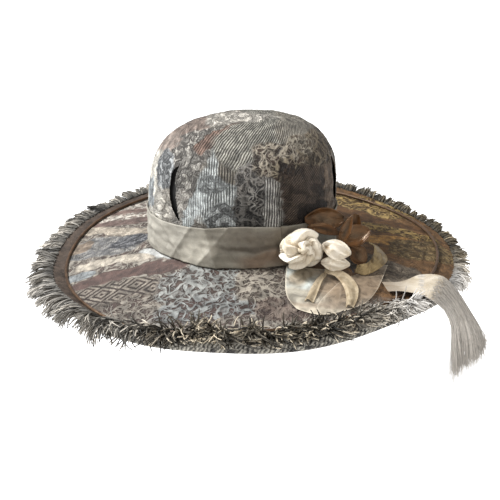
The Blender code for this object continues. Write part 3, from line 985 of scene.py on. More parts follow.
@dataclass(frozen=True)
class Sheer:
    """Sheer organza: the eye gets a thin tinted veil with crossing creases, painted shade and light along
    them, denser at its hem.
    """

    name: str
    cover: float
    uneven: float = 0.1
    crease: float = 14.0
    depth: float = 1.5
    hem: str = "#cfc5b2"
    hem_cover: float = 0.3
    hem_share: float = 0.7

    def make(self) -> bpy.types.Material:
        """Builds the material from the piece's own ground colour, paler at its hem.

        Returns:
            The material.
        """
        graph = Graph(self.name)
        crease = graph.noise(graph.read("cloth_at", "Vector"), self.crease, 5.0, 1.5)
        hem = graph.add("SeparateColor", {0: graph.read("weave")})
        # Painted shade and light along the creases.
        colour = graph.mottled(graph.read("ground"), crease, 0.15, 0.25, 0.25)
        colour = graph.mix(graph.times(hem, self.hem_share), colour, self.hem)
        cover = graph.span(crease, 0.3, 0.7, self.cover - self.uneven, self.cover + self.uneven)
        cover = graph.calc("MINIMUM", graph.plus(cover, graph.times(hem, self.hem_cover)), 1.0)
        return graph.finish(colour, crease, self.depth, Roughness=0.45, Alpha=cover)


@dataclass(frozen=True)
class Yarn:
    """Ravelled yarn: the eye gets matte threads, each of its own colour, with the painted shade and light
    that the mesh holds along them.
    """

    name: str
    fuzz: float = 0.8
    depth: float = 0.3

    def make(self) -> bpy.types.Material:
        """Builds the material from each thread's own shade.

        Returns:
            The material.
        """
        graph = Graph(self.name)
        fuzz = graph.noise(graph.add("TexCoord", out="Object"), self.fuzz)
        return graph.finish(graph.read("shade"), fuzz, self.depth, Roughness=0.6, Specular_IOR_Level=0.4)


@dataclass(frozen=True)
class Braid:
    """Twisted woven braid: the eye gets slanted strands, light ones and dark ones.

    Pitch, stray and sizes are millimetres, and the slant is a millimetre along for one round.
    """

    name: str
    light: str
    dark: str
    pitch: float = 4.0
    slant: float = 0.8
    stray: float = 4.0
    stray_size: float = 5.0
    mottle: float = 7.0

    def make(self) -> bpy.types.Material:
        """Builds the material from slanted stripes along the braid.

        Returns:
            The material.
        """
        graph = Graph(self.name)
        at = graph.read("cloth_at", "Vector")
        along_it, round_it = graph.add("SeparateXYZ", {0: at}).node.outputs[:2]
        slant = graph.plus(along_it, graph.times(round_it, self.slant))
        slant = graph.plus(slant, graph.times(graph.noise(at, self.stray_size), self.stray * MM))
        wave = graph.wave(slant, self.pitch)
        mottle = graph.noise(at, self.mottle, 5.0)
        share = graph.plus(graph.span(wave, -1.0, 0.0, 0.7, 0.0), graph.span(mottle, 0.46, 0.6))
        colour = graph.mix(graph.calc("MINIMUM", share, 1.0), self.light, self.dark)
        return graph.finish(colour, graph.plus(wave, mottle), 1.0, Roughness=0.6)


@dataclass(frozen=True)
class Plain:
    """One plain colour: the eye gets a shape with nothing on it."""

    name: str
    colour: str
    roughness: float = 0.8
    glow: float = 0.0

    def make(self) -> bpy.types.Material:
        """Builds the material.

        Returns:
            The material.
        """
        graph = Graph(self.name)
        still = graph.add("Value")
        glow = {"Emission_Color": as_colour(self.colour), "Emission_Strength": self.glow}
        return graph.finish(self.colour, still, 0.0, Roughness=self.roughness, **glow)


# The hat's own pieces


class Slit(NamedTuple):
    """A slit through the crown: its middle, size, bow to one side and shift of its lower end."""

    angle: float
    height: float
    length: float
    width: float
    bow: float
    foot: float


@dataclass(frozen=True)
class CrownCloth:
    """The patchwork cap, crinkled, with its two slits."""

    form: CrownForm
    columns: int = 780
    rows: int = 120
    flat: tuple[float, float] = (0.6, 0.16)
    flat_area: float = 0.088
    way_round: float = 600.0
    snap: float = 0.8
    turned_in: float = 0.6
    raised: float = 0.4
    crinkle: float = 0.9
    crinkle_mean: float = 0.4
    crinkle_size: float = 9.0
    slow: float = 0.5
    slow_size: float = 22.0
    fine: float = 0.5
    fine_size: float = 3.0
    dome_from: float = 60.0
    arc: float = 100.0
    arc_centre: float = 40.0
    slits: tuple[Slit, ...] = (
        Slit(-137.0, 63.5, 55.0, 9.0, 8.0, 10.0),
        Slit(-12.5, 68.0, 46.0, 17.0, 0.0, 1.0),
    )
    patches: tuple[Patch, ...] = (
        Patch(0, 0, 1, 1, 0, "#8b8479", "#48423c", 0.8),
        Patch(0, 121, 66, 13, 0, "#c6c0b4", "#645d54", 0.75),
        Patch(-60, 98, 30, 11, 28, "#85756a", "#5c4d43", 0.5),
        Patch(-50, 82, 38, 17, 20, "#a09b92", "#3c3733", 1.0),
        Patch(-71, 92, 12, 10, 30, "#94857a", "#6a5b50", 0.4),
        Patch(-17, 94, 30, 8, 24, "#86695a", "#4e3d31", 0.1, 0.0, 0.9),
        Patch(-86, 48, 10, 40, 0, "#c9c4b8", "#7a7368", 0.4),
        Patch(-90, 42, 4, 14, 0, "#8f9597", "#555b5f", 0.5),
        Patch(-74, 62, 9, 20, 0, "#96999a", "#3d4042", 1.0),
        Patch(-70, 28, 8, 18, 0, "#b3ada1", "#5d564c", 0.6),
        Patch(-52, 54, 13, 28, -4, "#98948c", "#3f3b37", 0.95, 0.0, 0.3),
        Patch(-56, 24, 13, 18, -12, "#aca79e", "#5a544d", 0.6, 0.0, 0.3),
        Patch(-5, 48, 33, 48, -27, "#c4cac8", "#484b4c", 0.12, 1.0),
        Patch(-45, 26, 7, 26, -27, "#c2c9c8", "#7a8081", 0.0, 0.8),
        Patch(-26, 46, 14, 10, 10, "#a6acab", "#393b3c", 0.8, 0.5),
        Patch(-14, 16, 22, 11, 10, "#a0a5a4", "#272828", 0.9, 0.5),
        Patch(0, 66, 24, 18, -6, "#777165", "#231f1b", 0.2, 1.0),
        Patch(18, 92, 46, 22, 20, "#a09d91", "#332e25", 0.06, 0.0, 1.0),
        Patch(50, 104, 18, 16, -10, "#9a9486", "#4b4339", 0.1, 0.0, 1.0),
        Patch(8, 46, 14, 22, -4, "#2f2c29", "#847f78", 0.95, 0.2),
        Patch(8, 18, 15, 20, 0, "#141211", "#625f5a", 0.95),
        Patch(14, 38, 9, 12, 0, "#1f1c1b", "#8c8881", 1.0),
        Patch(31, 32, 10, 34, 0, "#b0aea8", "#332f2b", 0.1, 1.0),
        Patch(42, 72, 34, 17, 0, "#3c2f25", "#a59a87", 1.0),
        Patch(44, 62, 15, 12, 0, "#32251b", "#94876f", 1.0),
        # The dark patches right of the tuck are partly the cloth's own dark brown and partly painted shade of
        # the tuck's sunk side.
        Patch(67, 34, 30, 34, 0, "#2f241d", "#695a4c", 0.1, 0.0, 0.0, 0.8),
        Patch(42, 60, 7, 7, 0, "#1d130d", "#5b4a3a", 0.4),
        Patch(70, 22, 16, 8, 24, "#1c1511", "#33281f", 0.1, 0.0, 0.0, 0.3),
        Patch(78, 46, 10, 6, 20, "#281f19", "#54473c", 0.3),
        Patch(88, 50, 7, 28, 0, "#6d5c4a", "#43352a", 0.4),
        Patch(74, 86, 18, 20, -30, "#4a3e31", "#82755f", 0.95),
        Patch(58, 88, 12, 8, -20, "#574c3f", "#9d9482", 0.9),
    )

    def surface(self, across: float, up: float) -> Vector:
        """The outer face, with the crinkles of its weave.

        Args:
            across: the part across the face, 0 to 1.
            up: the part along it, 0 to 1.

        Returns:
            The point, in millimetres.
        """
        height = along(self.form.sections, up).height
        point = self.form.point(self.form.column(across, height), up)
        point.z += self.raised * (1 - up)
        outward = Vector((point.x, point.y, max(point.z - self.dome_from, 0))).normalized()
        wave = rough(point, self.crinkle_size, 1.0) + self.slow * rough(point, self.slow_size, 4.0)
        wave = self.crinkle * (wave - self.crinkle_mean) + self.fine * abs(rough(point, self.fine_size, 2.0))
        return point + outward * wave * ramp(up, 0.0, 0.1)

    def build(self) -> None:
        """Makes the cap, cuts its slits and lays its patches."""
        piece = Sheet("crown_cloth", self.columns, self.rows, self.surface, wall=0.0).build()
        for slit in self.slits:
            self.cut(piece, slit)
        places = points_of(piece)
        write_cloth(piece, Patchwork(self.patches).colours(places), self.lay(places))
        role = Role("crown", ("crown",), self.flat, Held.STRETCHED, ("crown_lining",), self.flat_area)
        role.enrol(piece, Brocade("jacquard_patchwork_cap").make())

    def lay(self, places: np.ndarray) -> np.ndarray:
        """Where points lie on the cloth: round from the front, up, and in the back's own slice.

        Args:
            places: a row for each point, in millimetres.

        Returns:
            Rows of the same kind.
        """
        radius = np.hypot(places[:, 0], places[:, 1])
        turn = np.arctan2(places[:, 0], -places[:, 1])
        turn = np.where(np.abs(turn) > math.pi / 2, np.copysign(math.pi, turn) - turn, turn)
        rise = np.arctan2(places[:, 2] - self.arc_centre, radius)
        return np.stack((radius * turn, rise * self.arc, np.maximum(places[:, 1], 0)), axis=1)

    def cut(self, piece: bpy.types.Object, slit: Slit) -> None:
        """Cuts one slit and turns its edge in.

        Points near its outline move onto it, and the faces inside it go.

        Args:
            piece: the cap.
            slit: the slit to cut.
        """
        outward, sideways = polar(1.0, slit.angle), polar(1.0, slit.angle + 90)
        middle = self.form.point(slit.angle, self.form.level(slit.height), 0.0)
        reach = self.snap * self.way_round / self.columns
        shape = bmesh.new()
        shape.from_mesh(piece.data)
        inside = set()
        for vertex in shape.verts:
            away = vertex.co / MM - middle
            part = 1 - (2 * away.z / slit.length) ** 2
            if part <= 0 or vertex.co.dot(outward) <= 0 or abs(away.dot(sideways)) > slit.length:
                continue
            bulge = math.sqrt(part)
            line = slit.foot * (0.5 - away.z / slit.length) - bulge * slit.bow
            offset = away.dot(sideways) - line
            beyond = abs(offset) - bulge * slit.width / 2
            if abs(beyond) < reach:
                vertex.co -= sideways * math.copysign(beyond, offset) * MM
            if beyond < reach:
                inside.add(vertex)
        gone = [face for face in shape.faces if all(vertex in inside for vertex in face.verts)]
        bmesh.ops.delete(shape, geom=gone, context="FACES")
        rim = [edge for edge in shape.edges if edge.is_boundary and all(end in inside for end in edge.verts)]
        turned = bmesh.ops.extrude_edge_only(shape, edges=rim)["geom"]
        moved = [item for item in turned if isinstance(item, bmesh.types.BMVert)]
        bmesh.ops.translate(shape, verts=moved, vec=-outward * self.turned_in * MM)
        shape.to_mesh(piece.data)
        shape.free()


@dataclass(frozen=True)
class BrimCloth:
    """The striped jacquard brim, its satin border and its dark lower face."""

    form: BrimForm
    columns: int = 900
    rows: int = 105
    lower_columns: int = 240
    lower_rows: int = 24
    flat: tuple[float, float] = (0.42, 0.39)
    flat_area: float = 0.105
    wall: float = 2.4
    under_crown: float = -0.06
    crinkle: float = 0.8
    crinkle_size: float = 20.0
    fine: float = 0.4
    fine_size: float = 8.0
    border: Patch = Patch(0, 0, 1, 1, 0, "#44382f", "#75675a", 0.1)
    border_ends: float = 80.0
    border_edge: float = 0.01
    patches: tuple[Patch, ...] = (
        Patch(0, 0, 1, 1, 0, "#4c3f39", "#969085", 0.9),
        Patch(-129, 96, 62, 24, 8, "#75655c", "#c6c0b4", 0.95),
        Patch(-118, 98, 44, 7, -6, "#6b5951", "#7d6c64", 0.1),
        Patch(-128, 66, 56, 9, -6, "#5e4d47", "#857870", 0.15),
        Patch(-133, 40, 48, 9, -33, "#b0a595", "#746a5e", 0.6),
        Patch(-144, 6, 46, 22, -22, "#9b9892", "#43454b", 0.8, 0.5, 0.5),
        Patch(-116, 0, 20, 13, -22, "#76777a", "#2b2c31", 1.0, 0.3, 0.3),
        Patch(-172, 22, 15, 12, 0, "#857768", "#544639", 0.5),
        Patch(-120, -38, 54, 7, -16, "#b3aa9b", "#7c7266", 0.4),
        # A painted highlight: a pale strip on the brim beside the band's front-left foot.
        Patch(-84, -46, 22, 6, -42, "#abaca9", "#8f8e8a", 0.1),
        Patch(-165, -42, 18, 7, -10, "#878b8c", "#575c5f", 0.5),
        Patch(-112, -66, 64, 9, -6, "#533f39", "#6c5d56", 0.06),
        Patch(-115, -96, 64, 19, -14, "#8a8175", "#2d211d", 0.35, 0.0, 0.0, 1.0),
        Patch(-80, -128, 62, 20, -10, "#3f302a", "#857e73", 1.0),
        Patch(-38, -104, 44, 24, 0, "#44362f", "#8f918d", 1.0),
        Patch(-22, -140, 62, 16, 0, "#3f2e28", "#858886", 1.0),
        Patch(18, -112, 24, 26, 0, "#40352e", "#958d80", 1.0, 0.15),
        Patch(38, -148, 26, 16, 0, "#3c2b26", "#7c6f64", 0.9, 0.2, 0.2),
        Patch(160, 60, 112, 190, 0, "#6f5130", "#3a2612", 0.3),
        Patch(135, 112, 60, 30, -20, "#402c17", "#a68b52", 0.95),
        Patch(110, 90, 34, 14, -30, "#5a3e22", "#6f5230", 0.1),
        Patch(150, 62, 60, 10, -24, "#54391e", "#735633", 0.12),
        Patch(158, 34, 54, 10, -22, "#402c17", "#a3874c", 0.9),
        Patch(148, 4, 30, 12, 6, "#b98a45", "#54350f", 0.4),
        Patch(184, -14, 34, 24, 0, "#806b45", "#3d2a12", 0.8),
        Patch(140, -70, 40, 24, -30, "#786c5c", "#3a3027", 0.7),
    )

    def surface(self, across: float, up: float) -> Vector:
        """The upper face, from the rim in to just under the crown.

        Args:
            across: the part across the face, 0 to 1.
            up: the part along it, 0 to 1.

        Returns:
            The point, in millimetres.
        """
        place = 1 - up * (1 - self.under_crown)
        point = self.form.point(360 * across, place)
        crumple = rough(point, self.crinkle_size, 6.0) + self.fine * rough(point, self.fine_size, 8.0)
        point.z += self.crinkle * crumple * ramp(place, 0.02, 0.2) * (1 - ramp(place, 0.9, 1.0))
        return point

    def lower(self, across: float, up: float) -> Vector:
        """The lower face, from just under the crown out to the rim."""
        return self.form.point(360 * across, self.under_crown + up * (1 - self.under_crown), -self.wall)

    def build(self) -> None:
        """Makes both faces and lays the stripes, patches and border."""
        upper = Sheet("brim_cloth", self.columns, self.rows, self.surface, wall=0.0).build()
        places = points_of(upper)
        work = Patchwork(self.patches, lean=LYING, fine_wide=7.0, muted=0.1)
        found = work.colours(places)
        angles = np.degrees(np.arctan2(places[:, 1], places[:, 0]))
        rims = np.array([self.form.rim(angle) for angle in angles])
        feet = np.array([self.form.crown.foot(angle) for angle in angles])
        reach = (np.hypot(places[:, 0], places[:, 1]) - feet) / (rims - feet)
        share = np.clip((reach - self.form.piping_at) / self.border_edge, 0, 1)
        share *= places[:, 0] < self.border_ends
        found += (work.row(self.border) - found) * share[:, None]
        write_cloth(upper, found, places[:, :2])
        role = Role("brim", ("brim",), self.flat, Held.STRETCHED, ("crown",), self.flat_area)
        weave = Brocade(
            "jacquard_striped_brim",
            curl=10.5,
            curl_line=0.095,
            rib_turns=(0.0, 90.0, 0.0),
            diamonds=True,
            depth=1.8,
            shadow=0.45,
            crumple=0.6,
        )
        role.enrol(upper, weave.make())
        lower = Sheet("brim_facing", self.lower_columns, self.lower_rows, self.lower, wall=0.0).build()
        role.enrol(lower, Plain("dark_cotton_facing", "#2b2521").make())


class BandStation(NamedTuple):
    """How high the ribbon's upper edge is, round the crown."""

    top: float


class Crease(NamedTuple):
    """A crease across the ribbon: angle at its foot, lean in degrees a millimetre, spread and depth."""

    angle: float
    lean: float
    spread: float
    depth: float


@dataclass(frozen=True)
class HatBand:
    """The wide linen ribbon round the crown's foot, with its wrinkles."""

    form: CrownForm
    columns: int = 480
    rows: int = 34
    wall: float = 1.0
    out: float = 1.8
    flare: float = 1.0
    foot: float = 0.7
    wrinkle: float = 1.3
    wrinkle_mean: float = 0.3
    slant: tuple[float, float, float] = (0.45, 0.45, 1.6)
    slant_size: float = 10.0
    fine: float = 0.6
    fine_size: float = 9.0
    beyond: float = 0.7
    flat: tuple[float, float] = (0.6, 0.038)
    crown_radius: float = 95.0
    stations: tuple[BandStation, ...] = tuple(BandStation(top) for top in (36, 36, 36, 36, 35, 34.5, 40, 37))
    creases: tuple[Crease, ...] = (
        Crease(-106.0, -0.18, 2.2, 2.0),
        Crease(-118.0, 0.5, 1.4, 0.9),
        Crease(-128.0, -0.6, 1.5, 1.0),
        Crease(-139.0, 0.45, 1.4, 0.9),
        Crease(-148.0, -0.4, 1.5, 0.8),
        Crease(-90.0, -0.5, 2.5, 0.9),
        Crease(-76.0, 0.4, 2.4, 0.8),
        Crease(-64.0, -0.5, 2.2, 0.8),
    )
    patches: tuple[Patch, ...] = (
        Patch(0, 0, 1, 1, 0, "#8c8779", "#6e675a", 0.0),
        Patch(-78, 6, 26, 30, 0, "#a19c8f", "#857d71", 0.0),
        Patch(-8, -6, 34, 26, 0, "#817b6d", "#655d51", 0.0),
        # A painted highlight on the band's front-left, low where it flares.
        Patch(-40, -18, 14, 13, 10, "#b3ad9d", "#989080", 0.0),
        Patch(28, -2, 34, 9, 0, "#6e6557", "#4d4439", 0.0),
        Patch(20, -12, 36, 4, 0, "#564d41", "#40372d", 0.0),
        Patch(34, -24, 34, 9, 6, "#84705c", "#5c4c3c", 0.0),
    )

    def surface(self, across: float, up: float) -> Vector:
        """The ribbon's outer face.

        Args:
            across: the part across the face, 0 to 1.
            up: the part along it, 0 to 1.

        Returns:
            The point, in millimetres.
        """
        top = around(self.stations, self.form.column(across, self.form.tuck_full)).top
        height = top * up
        angle = self.form.column(across, height)
        out = self.out + max(self.form.tuck_relief(angle, height), 0.0) + self.flare * (1 - up)
        point = self.form.point(angle, self.form.level(height), 0.0)
        stretched = Vector([value * share for value, share in zip(point, self.slant)])
        wave = rough(stretched, self.slant_size, 2.0) + self.fine * rough(point, self.fine_size, 5.0)
        for crease in self.creases:
            away = turn_between(angle, crease.angle + crease.lean * height)
            out += crease.depth * bell(away, crease.spread) * (1 if away > 0 else self.beyond)
        out += self.wrinkle * (wave - self.wrinkle_mean) * ramp(up, 0.0, 0.15) * (1 - ramp(up, 0.85, 1.0))
        return point + polar(out, angle, self.foot)

    def build(self) -> None:
        """Makes the ribbon and shades it."""
        piece = Sheet("linen_band", self.columns, self.rows, self.surface, self.wall).build()
        places = points_of(piece)
        work = Patchwork(self.patches, warp_depth=8.0, fine_depth=1.0, edge=0.35, squareness=2.0)
        turn = np.arctan2(places[:, 0], -places[:, 1])
        write_cloth(piece, work.colours(places), np.stack((turn * self.crown_radius, places[:, 2]), axis=1))
        role = Role("hat_band", ("hat_band",), self.flat, Held.STRETCHED, ("crown_cloth",))
        role.enrol(piece, Brocade("woven_linen_ribbon", depth=0.5, shadow=0.14, crumple=1.0).make())


@dataclass(frozen=True)
class RimCords:
    """The satin piping just inside the rim and the braid below it."""

    form: BrimForm
    steps: int = 900
    sides: int = 12
    piping_radius: float = 1.5
    piping_lift: float = 0.55
    piping_size: tuple[float, float] = (1100.0, 10.0)
    pucker: float = 0.14
    pucker_size: float = 5.0
    wall: float = 2.4
    braid_size: tuple[float, float] = (1250.0, 22.0)
    braid_twists: int = 310
    braid_twist: float = 0.35
    braid_tall: float = 11.0
    braid_thick: float = 4.2
    braid_in: float = 0.6
    braid_below: float = -1.0

    def piping(self, across: float, up: float) -> Vector:
        """The face of the piping, puckered where it is sewn.

        Args:
            across: the part across the face, 0 to 1.
            up: the part along it, 0 to 1.

        Returns:
            The point, in millimetres.
        """
        angle, turn = 360 * across, -TURN * up
        middle = self.form.point(angle, self.form.piping_at, self.piping_radius + self.piping_lift)
        thick = self.piping_radius * (1 + self.pucker * rough(middle, self.pucker_size, 3.0))
        return middle + polar(math.cos(turn) * thick, angle, math.sin(turn) * thick)

    def braid(self, across: float, up: float) -> Vector:
        """The face of the braid that hangs under the rim.

        Args:
            across: the part across the face, 0 to 1.
            up: the part along it, 0 to 1.

        Returns:
            The point, in millimetres.
        """
        angle, turn = 360 * across, -TURN * up
        below = self.wall + self.braid_below + self.braid_tall / 2
        twist = self.braid_twist * math.sin(TURN * (across * self.braid_twists + up * 2))
        out = math.cos(turn) * (self.braid_thick / 2 + twist) - self.braid_in
        return self.form.point(angle, 1.0) + polar(out, angle, math.sin(turn) * self.braid_tall / 2 - below)

    def build(self) -> None:
        """Makes both rings."""
        # The second colour is painted shade in the satin's folds.
        satin = Satin("piping_satin", "#584536", "#2a1e15").make()
        piping = Sheet("satin_piping", self.steps, self.sides, self.piping, 0.0, *self.piping_size).build()
        Role("brim_piping", ("brim_piping",)).enrol(piping, satin)
        woven = Braid("woven_rim_braid", "#a09c91", "#1f1c1a").make()
        braid = Sheet("rim_braid", self.steps, self.sides, self.braid, 0.0, *self.braid_size).build()
        Role("rim_binding", ("rim_binding",)).enrol(braid, woven)


class FringeStation(NamedTuple):
    """The yarn at a place round the rim: its length, slope, curl, sweep, light, warmth and tangle."""

    length: float
    slope: float
    curl: float
    sweep: float
    light: float
    warm: float
    tangle: float


class Strand(NamedTuple):
    """One thread: its length, and its slope, sweep, curl and twist in degrees."""

    length: float
    slope: float
    sweep: float
    curl: float
    twist: float


@dataclass(frozen=True)
class Fringe:
    """The ravelled rim: threads of yarn in locks along the brim's edge."""

    form: BrimForm
    locks: int = 300
    threads: int = 18
    points: int = 7
    radius: float = 0.75
    seed: int = 7
    inset: float = 0.8
    lock_spread: float = 1.1
    brightness: float = 0.7
    uneven: float = 0.34
    pale_share: float = 0.21
    pale: tuple[float, float] = (0.35, 0.7)
    dull_share: float = 0.25
    dull: float = 0.4
    darkest: float = 0.012
    lightest: float = 0.7
    warm_green: float = 0.16
    warm_blue: float = 0.42
    pressed_angle: float = -31.0
    pressed_spread: float = 12.0
    stations: tuple[FringeStation, ...] = (
        FringeStation(17, 12, -45, 0, 0.20, 0.9, 0.1),
        FringeStation(15, 25, -45, 0, 0.18, 1.1, 0.1),
        FringeStation(13, 35, -40, 0, 0.17, 1.1, 0.1),
        FringeStation(13, 40, -40, 0, 0.18, 1.0, 0.1),
        FringeStation(14, 42, -35, 0, 0.17, 0.7, 0.1),
        FringeStation(13, 46, -30, 0, 0.22, 0.6, 0.1),
        FringeStation(13, 46, -30, 0, 0.20, 0.6, 0.1),
        FringeStation(14, 42, -30, 0, 0.18, 0.6, 0.1),
        FringeStation(15, 36, -35, 5, 0.19, 0.5, 0.1),
        FringeStation(18, 28, -40, 8, 0.20, 0.5, 0.1),
        FringeStation(21, 22, -45, 10, 0.22, 0.45, 0.05),
        FringeStation(25, 14, -45, 12, 0.34, 0.4, 0.05),
        FringeStation(29, 8, -45, 10, 0.38, 0.35, 0.0),
        FringeStation(32, 2, -40, 4, 0.4, 0.35, 0.0),
        FringeStation(35, -2, -35, -6, 0.38, 0.35, 0.05),
        FringeStation(35, 6, -40, -22, 0.32, 0.45, 0.2),
        FringeStation(32, 40, -60, -30, 0.14, 0.45, 0.6),
        FringeStation(30, 66, -30, -10, 0.11, 0.8, 1.0),
        FringeStation(30, 74, -20, 0, 0.085, 0.8, 1.0),
        FringeStation(26, 72, -30, 0, 0.08, 0.8, 1.0),
        FringeStation(26, 66, -30, 10, 0.12, 0.7, 1.0),
        FringeStation(31, 50, -20, 10, 0.75, 0.2, 0.9),
        FringeStation(22, 20, -30, 5, 0.9, 0.2, 0.4),
        FringeStation(27, 6, -40, 0, 1.3, 0.2, 0.3),
    )

    def build(self) -> None:
        """Makes the fringe in two halves, so that neither mesh grows too large."""
        chance = random.Random(self.seed)
        finish = Yarn("ravelled_yarn").make()
        middle = self.locks // 2
        for name, locks in (("back", range(middle)), ("front", range(middle, self.locks))):
            self.half("yarn_fringe_" + name, finish, chance, locks)

    def half(self, name: str, finish: bpy.types.Material, chance: random.Random, locks: range) -> None:
        """Makes one piece of some locks, with painted shade at their threads' roots and painted light at
        their tips.

        Args:
            name: the piece's name.
            finish: its finish.
            chance: the seeded draws.
            locks: the numbers of its locks.
        """
        threads = Threads(name, self.radius, self.points)
        for lock in locks:
            self.lock(threads, chance, 360 * (lock + chance.uniform(-0.5, 0.5)) / self.locks)
        # Painted shade at each thread's root, growing to painted light at its tip.
        light = [0.35 + 0.75 * ramp(step / (self.points - 1), 0.0, 0.8) for step in range(self.points)]
        Role("brim_fringe", ("brim_fringe",)).enrol(threads.build(light), finish)

    def lock(self, threads: Threads, chance: random.Random, angle: float) -> None:
        """Draws one lock.

        Args:
            threads: what gets its threads.
            chance: the seeded draws.
            angle: where the lock is round the rim.
        """
        station = around(self.stations, angle)
        wild = max(station.tangle, 0.0)
        pressed = bell(turn_between(angle, self.pressed_angle), self.pressed_spread)
        lean, lift = chance.gauss(0, 10 + 20 * wild), chance.gauss(0, 8 + 10 * wild)
        size, bend = chance.uniform(0.85, 1.12), chance.gauss(12, 24)
        tone = math.exp(chance.gauss(0, self.uneven))
        for _ in range(self.threads):
            beside = chance.uniform(-1.0, 1.0)
            root_angle = angle + self.lock_spread * beside
            inward = self.inset + chance.uniform(0.0, 2.5)
            root = self.form.point(root_angle, 1.0) + polar(-inward, root_angle, chance.uniform(-2.0, 1.0))
            strand = Strand(
                length=station.length * size * chance.uniform(0.82, 1.06) * (1 - 0.6 * pressed),
                slope=station.slope + lift + chance.gauss(0, 3 + 14 * wild) - 50 * pressed,
                sweep=station.sweep + lean - 16 * beside * (1 - wild) + chance.gauss(0, 3 + 30 * wild),
                curl=station.curl - 90 * wild + chance.gauss(0, 6 + 40 * wild),
                twist=bend * (1 + 3 * wild) + chance.gauss(0, 3 + 50 * wild),
            )
            threads.draw(self.path(root, root_angle, strand, wild), self.shade(station, tone, chance))

    def path(self, root: Vector, angle: float, strand: Strand, wild: float) -> Iterator[tuple[Vector, float]]:
        """A thread's places and its share of the radius at each.

        Args:
            root: where it leaves the rim, in millimetres.
            angle: where that is round the rim.
            strand: its length and turns.
            wild: how tangled it is, from 0 to 1.

        Yields:
            Each place, in millimetres, and the share of the radius there.
        """
        place = root
        for step in range(self.points):
            part = step / (self.points - 1)
            yield place, (1 + 0.3 * wild) * (1 - 0.6 * part**2)
            tilt = math.radians(max(strand.slope + strand.curl * part, 65 * wild - 70))
            side = math.radians(strand.sweep + strand.twist * part)
            forward = polar(math.cos(side), angle) + polar(math.sin(side), angle + 90)
            forward = forward * math.cos(tilt) + Vector((0, 0, math.sin(tilt)))
            place = place + forward * strand.length / self.points

    def shade(self, station: FringeStation, tone: float, chance: random.Random) -> tuple[float, ...]:
        """One thread's colour, round its station's light.

        Args:
            station: the fringe at that place of the rim.
            tone: the lightness of its lock, about 1.
            chance: the source of random numbers.

        Returns:
            Red, green, blue and 1.
        """
        level = self.brightness * station.light * tone * math.exp(chance.gauss(0, self.uneven))
        if chance.random() < self.pale_share * station.tangle:
            level = chance.uniform(*self.pale)
        elif chance.random() < self.dull_share:
            level *= self.dull
        level = min(max(level, self.darkest), self.lightest)
        green, blue = 1 - self.warm_green * station.warm, 1 - self.warm_blue * station.warm
        return (level, level * green, level * blue, 1.0)


class Petal(NamedTuple):
    """A satin petal: the middle of its base and tip, its facing, width, cupping, belly and eye."""

    name: str
    base: tuple[float, float, float]
    tip: tuple[float, float, float]
    face: tuple[float, float, float]
    width: float
    cup: float
    belly: float
    eye: float = 0.0


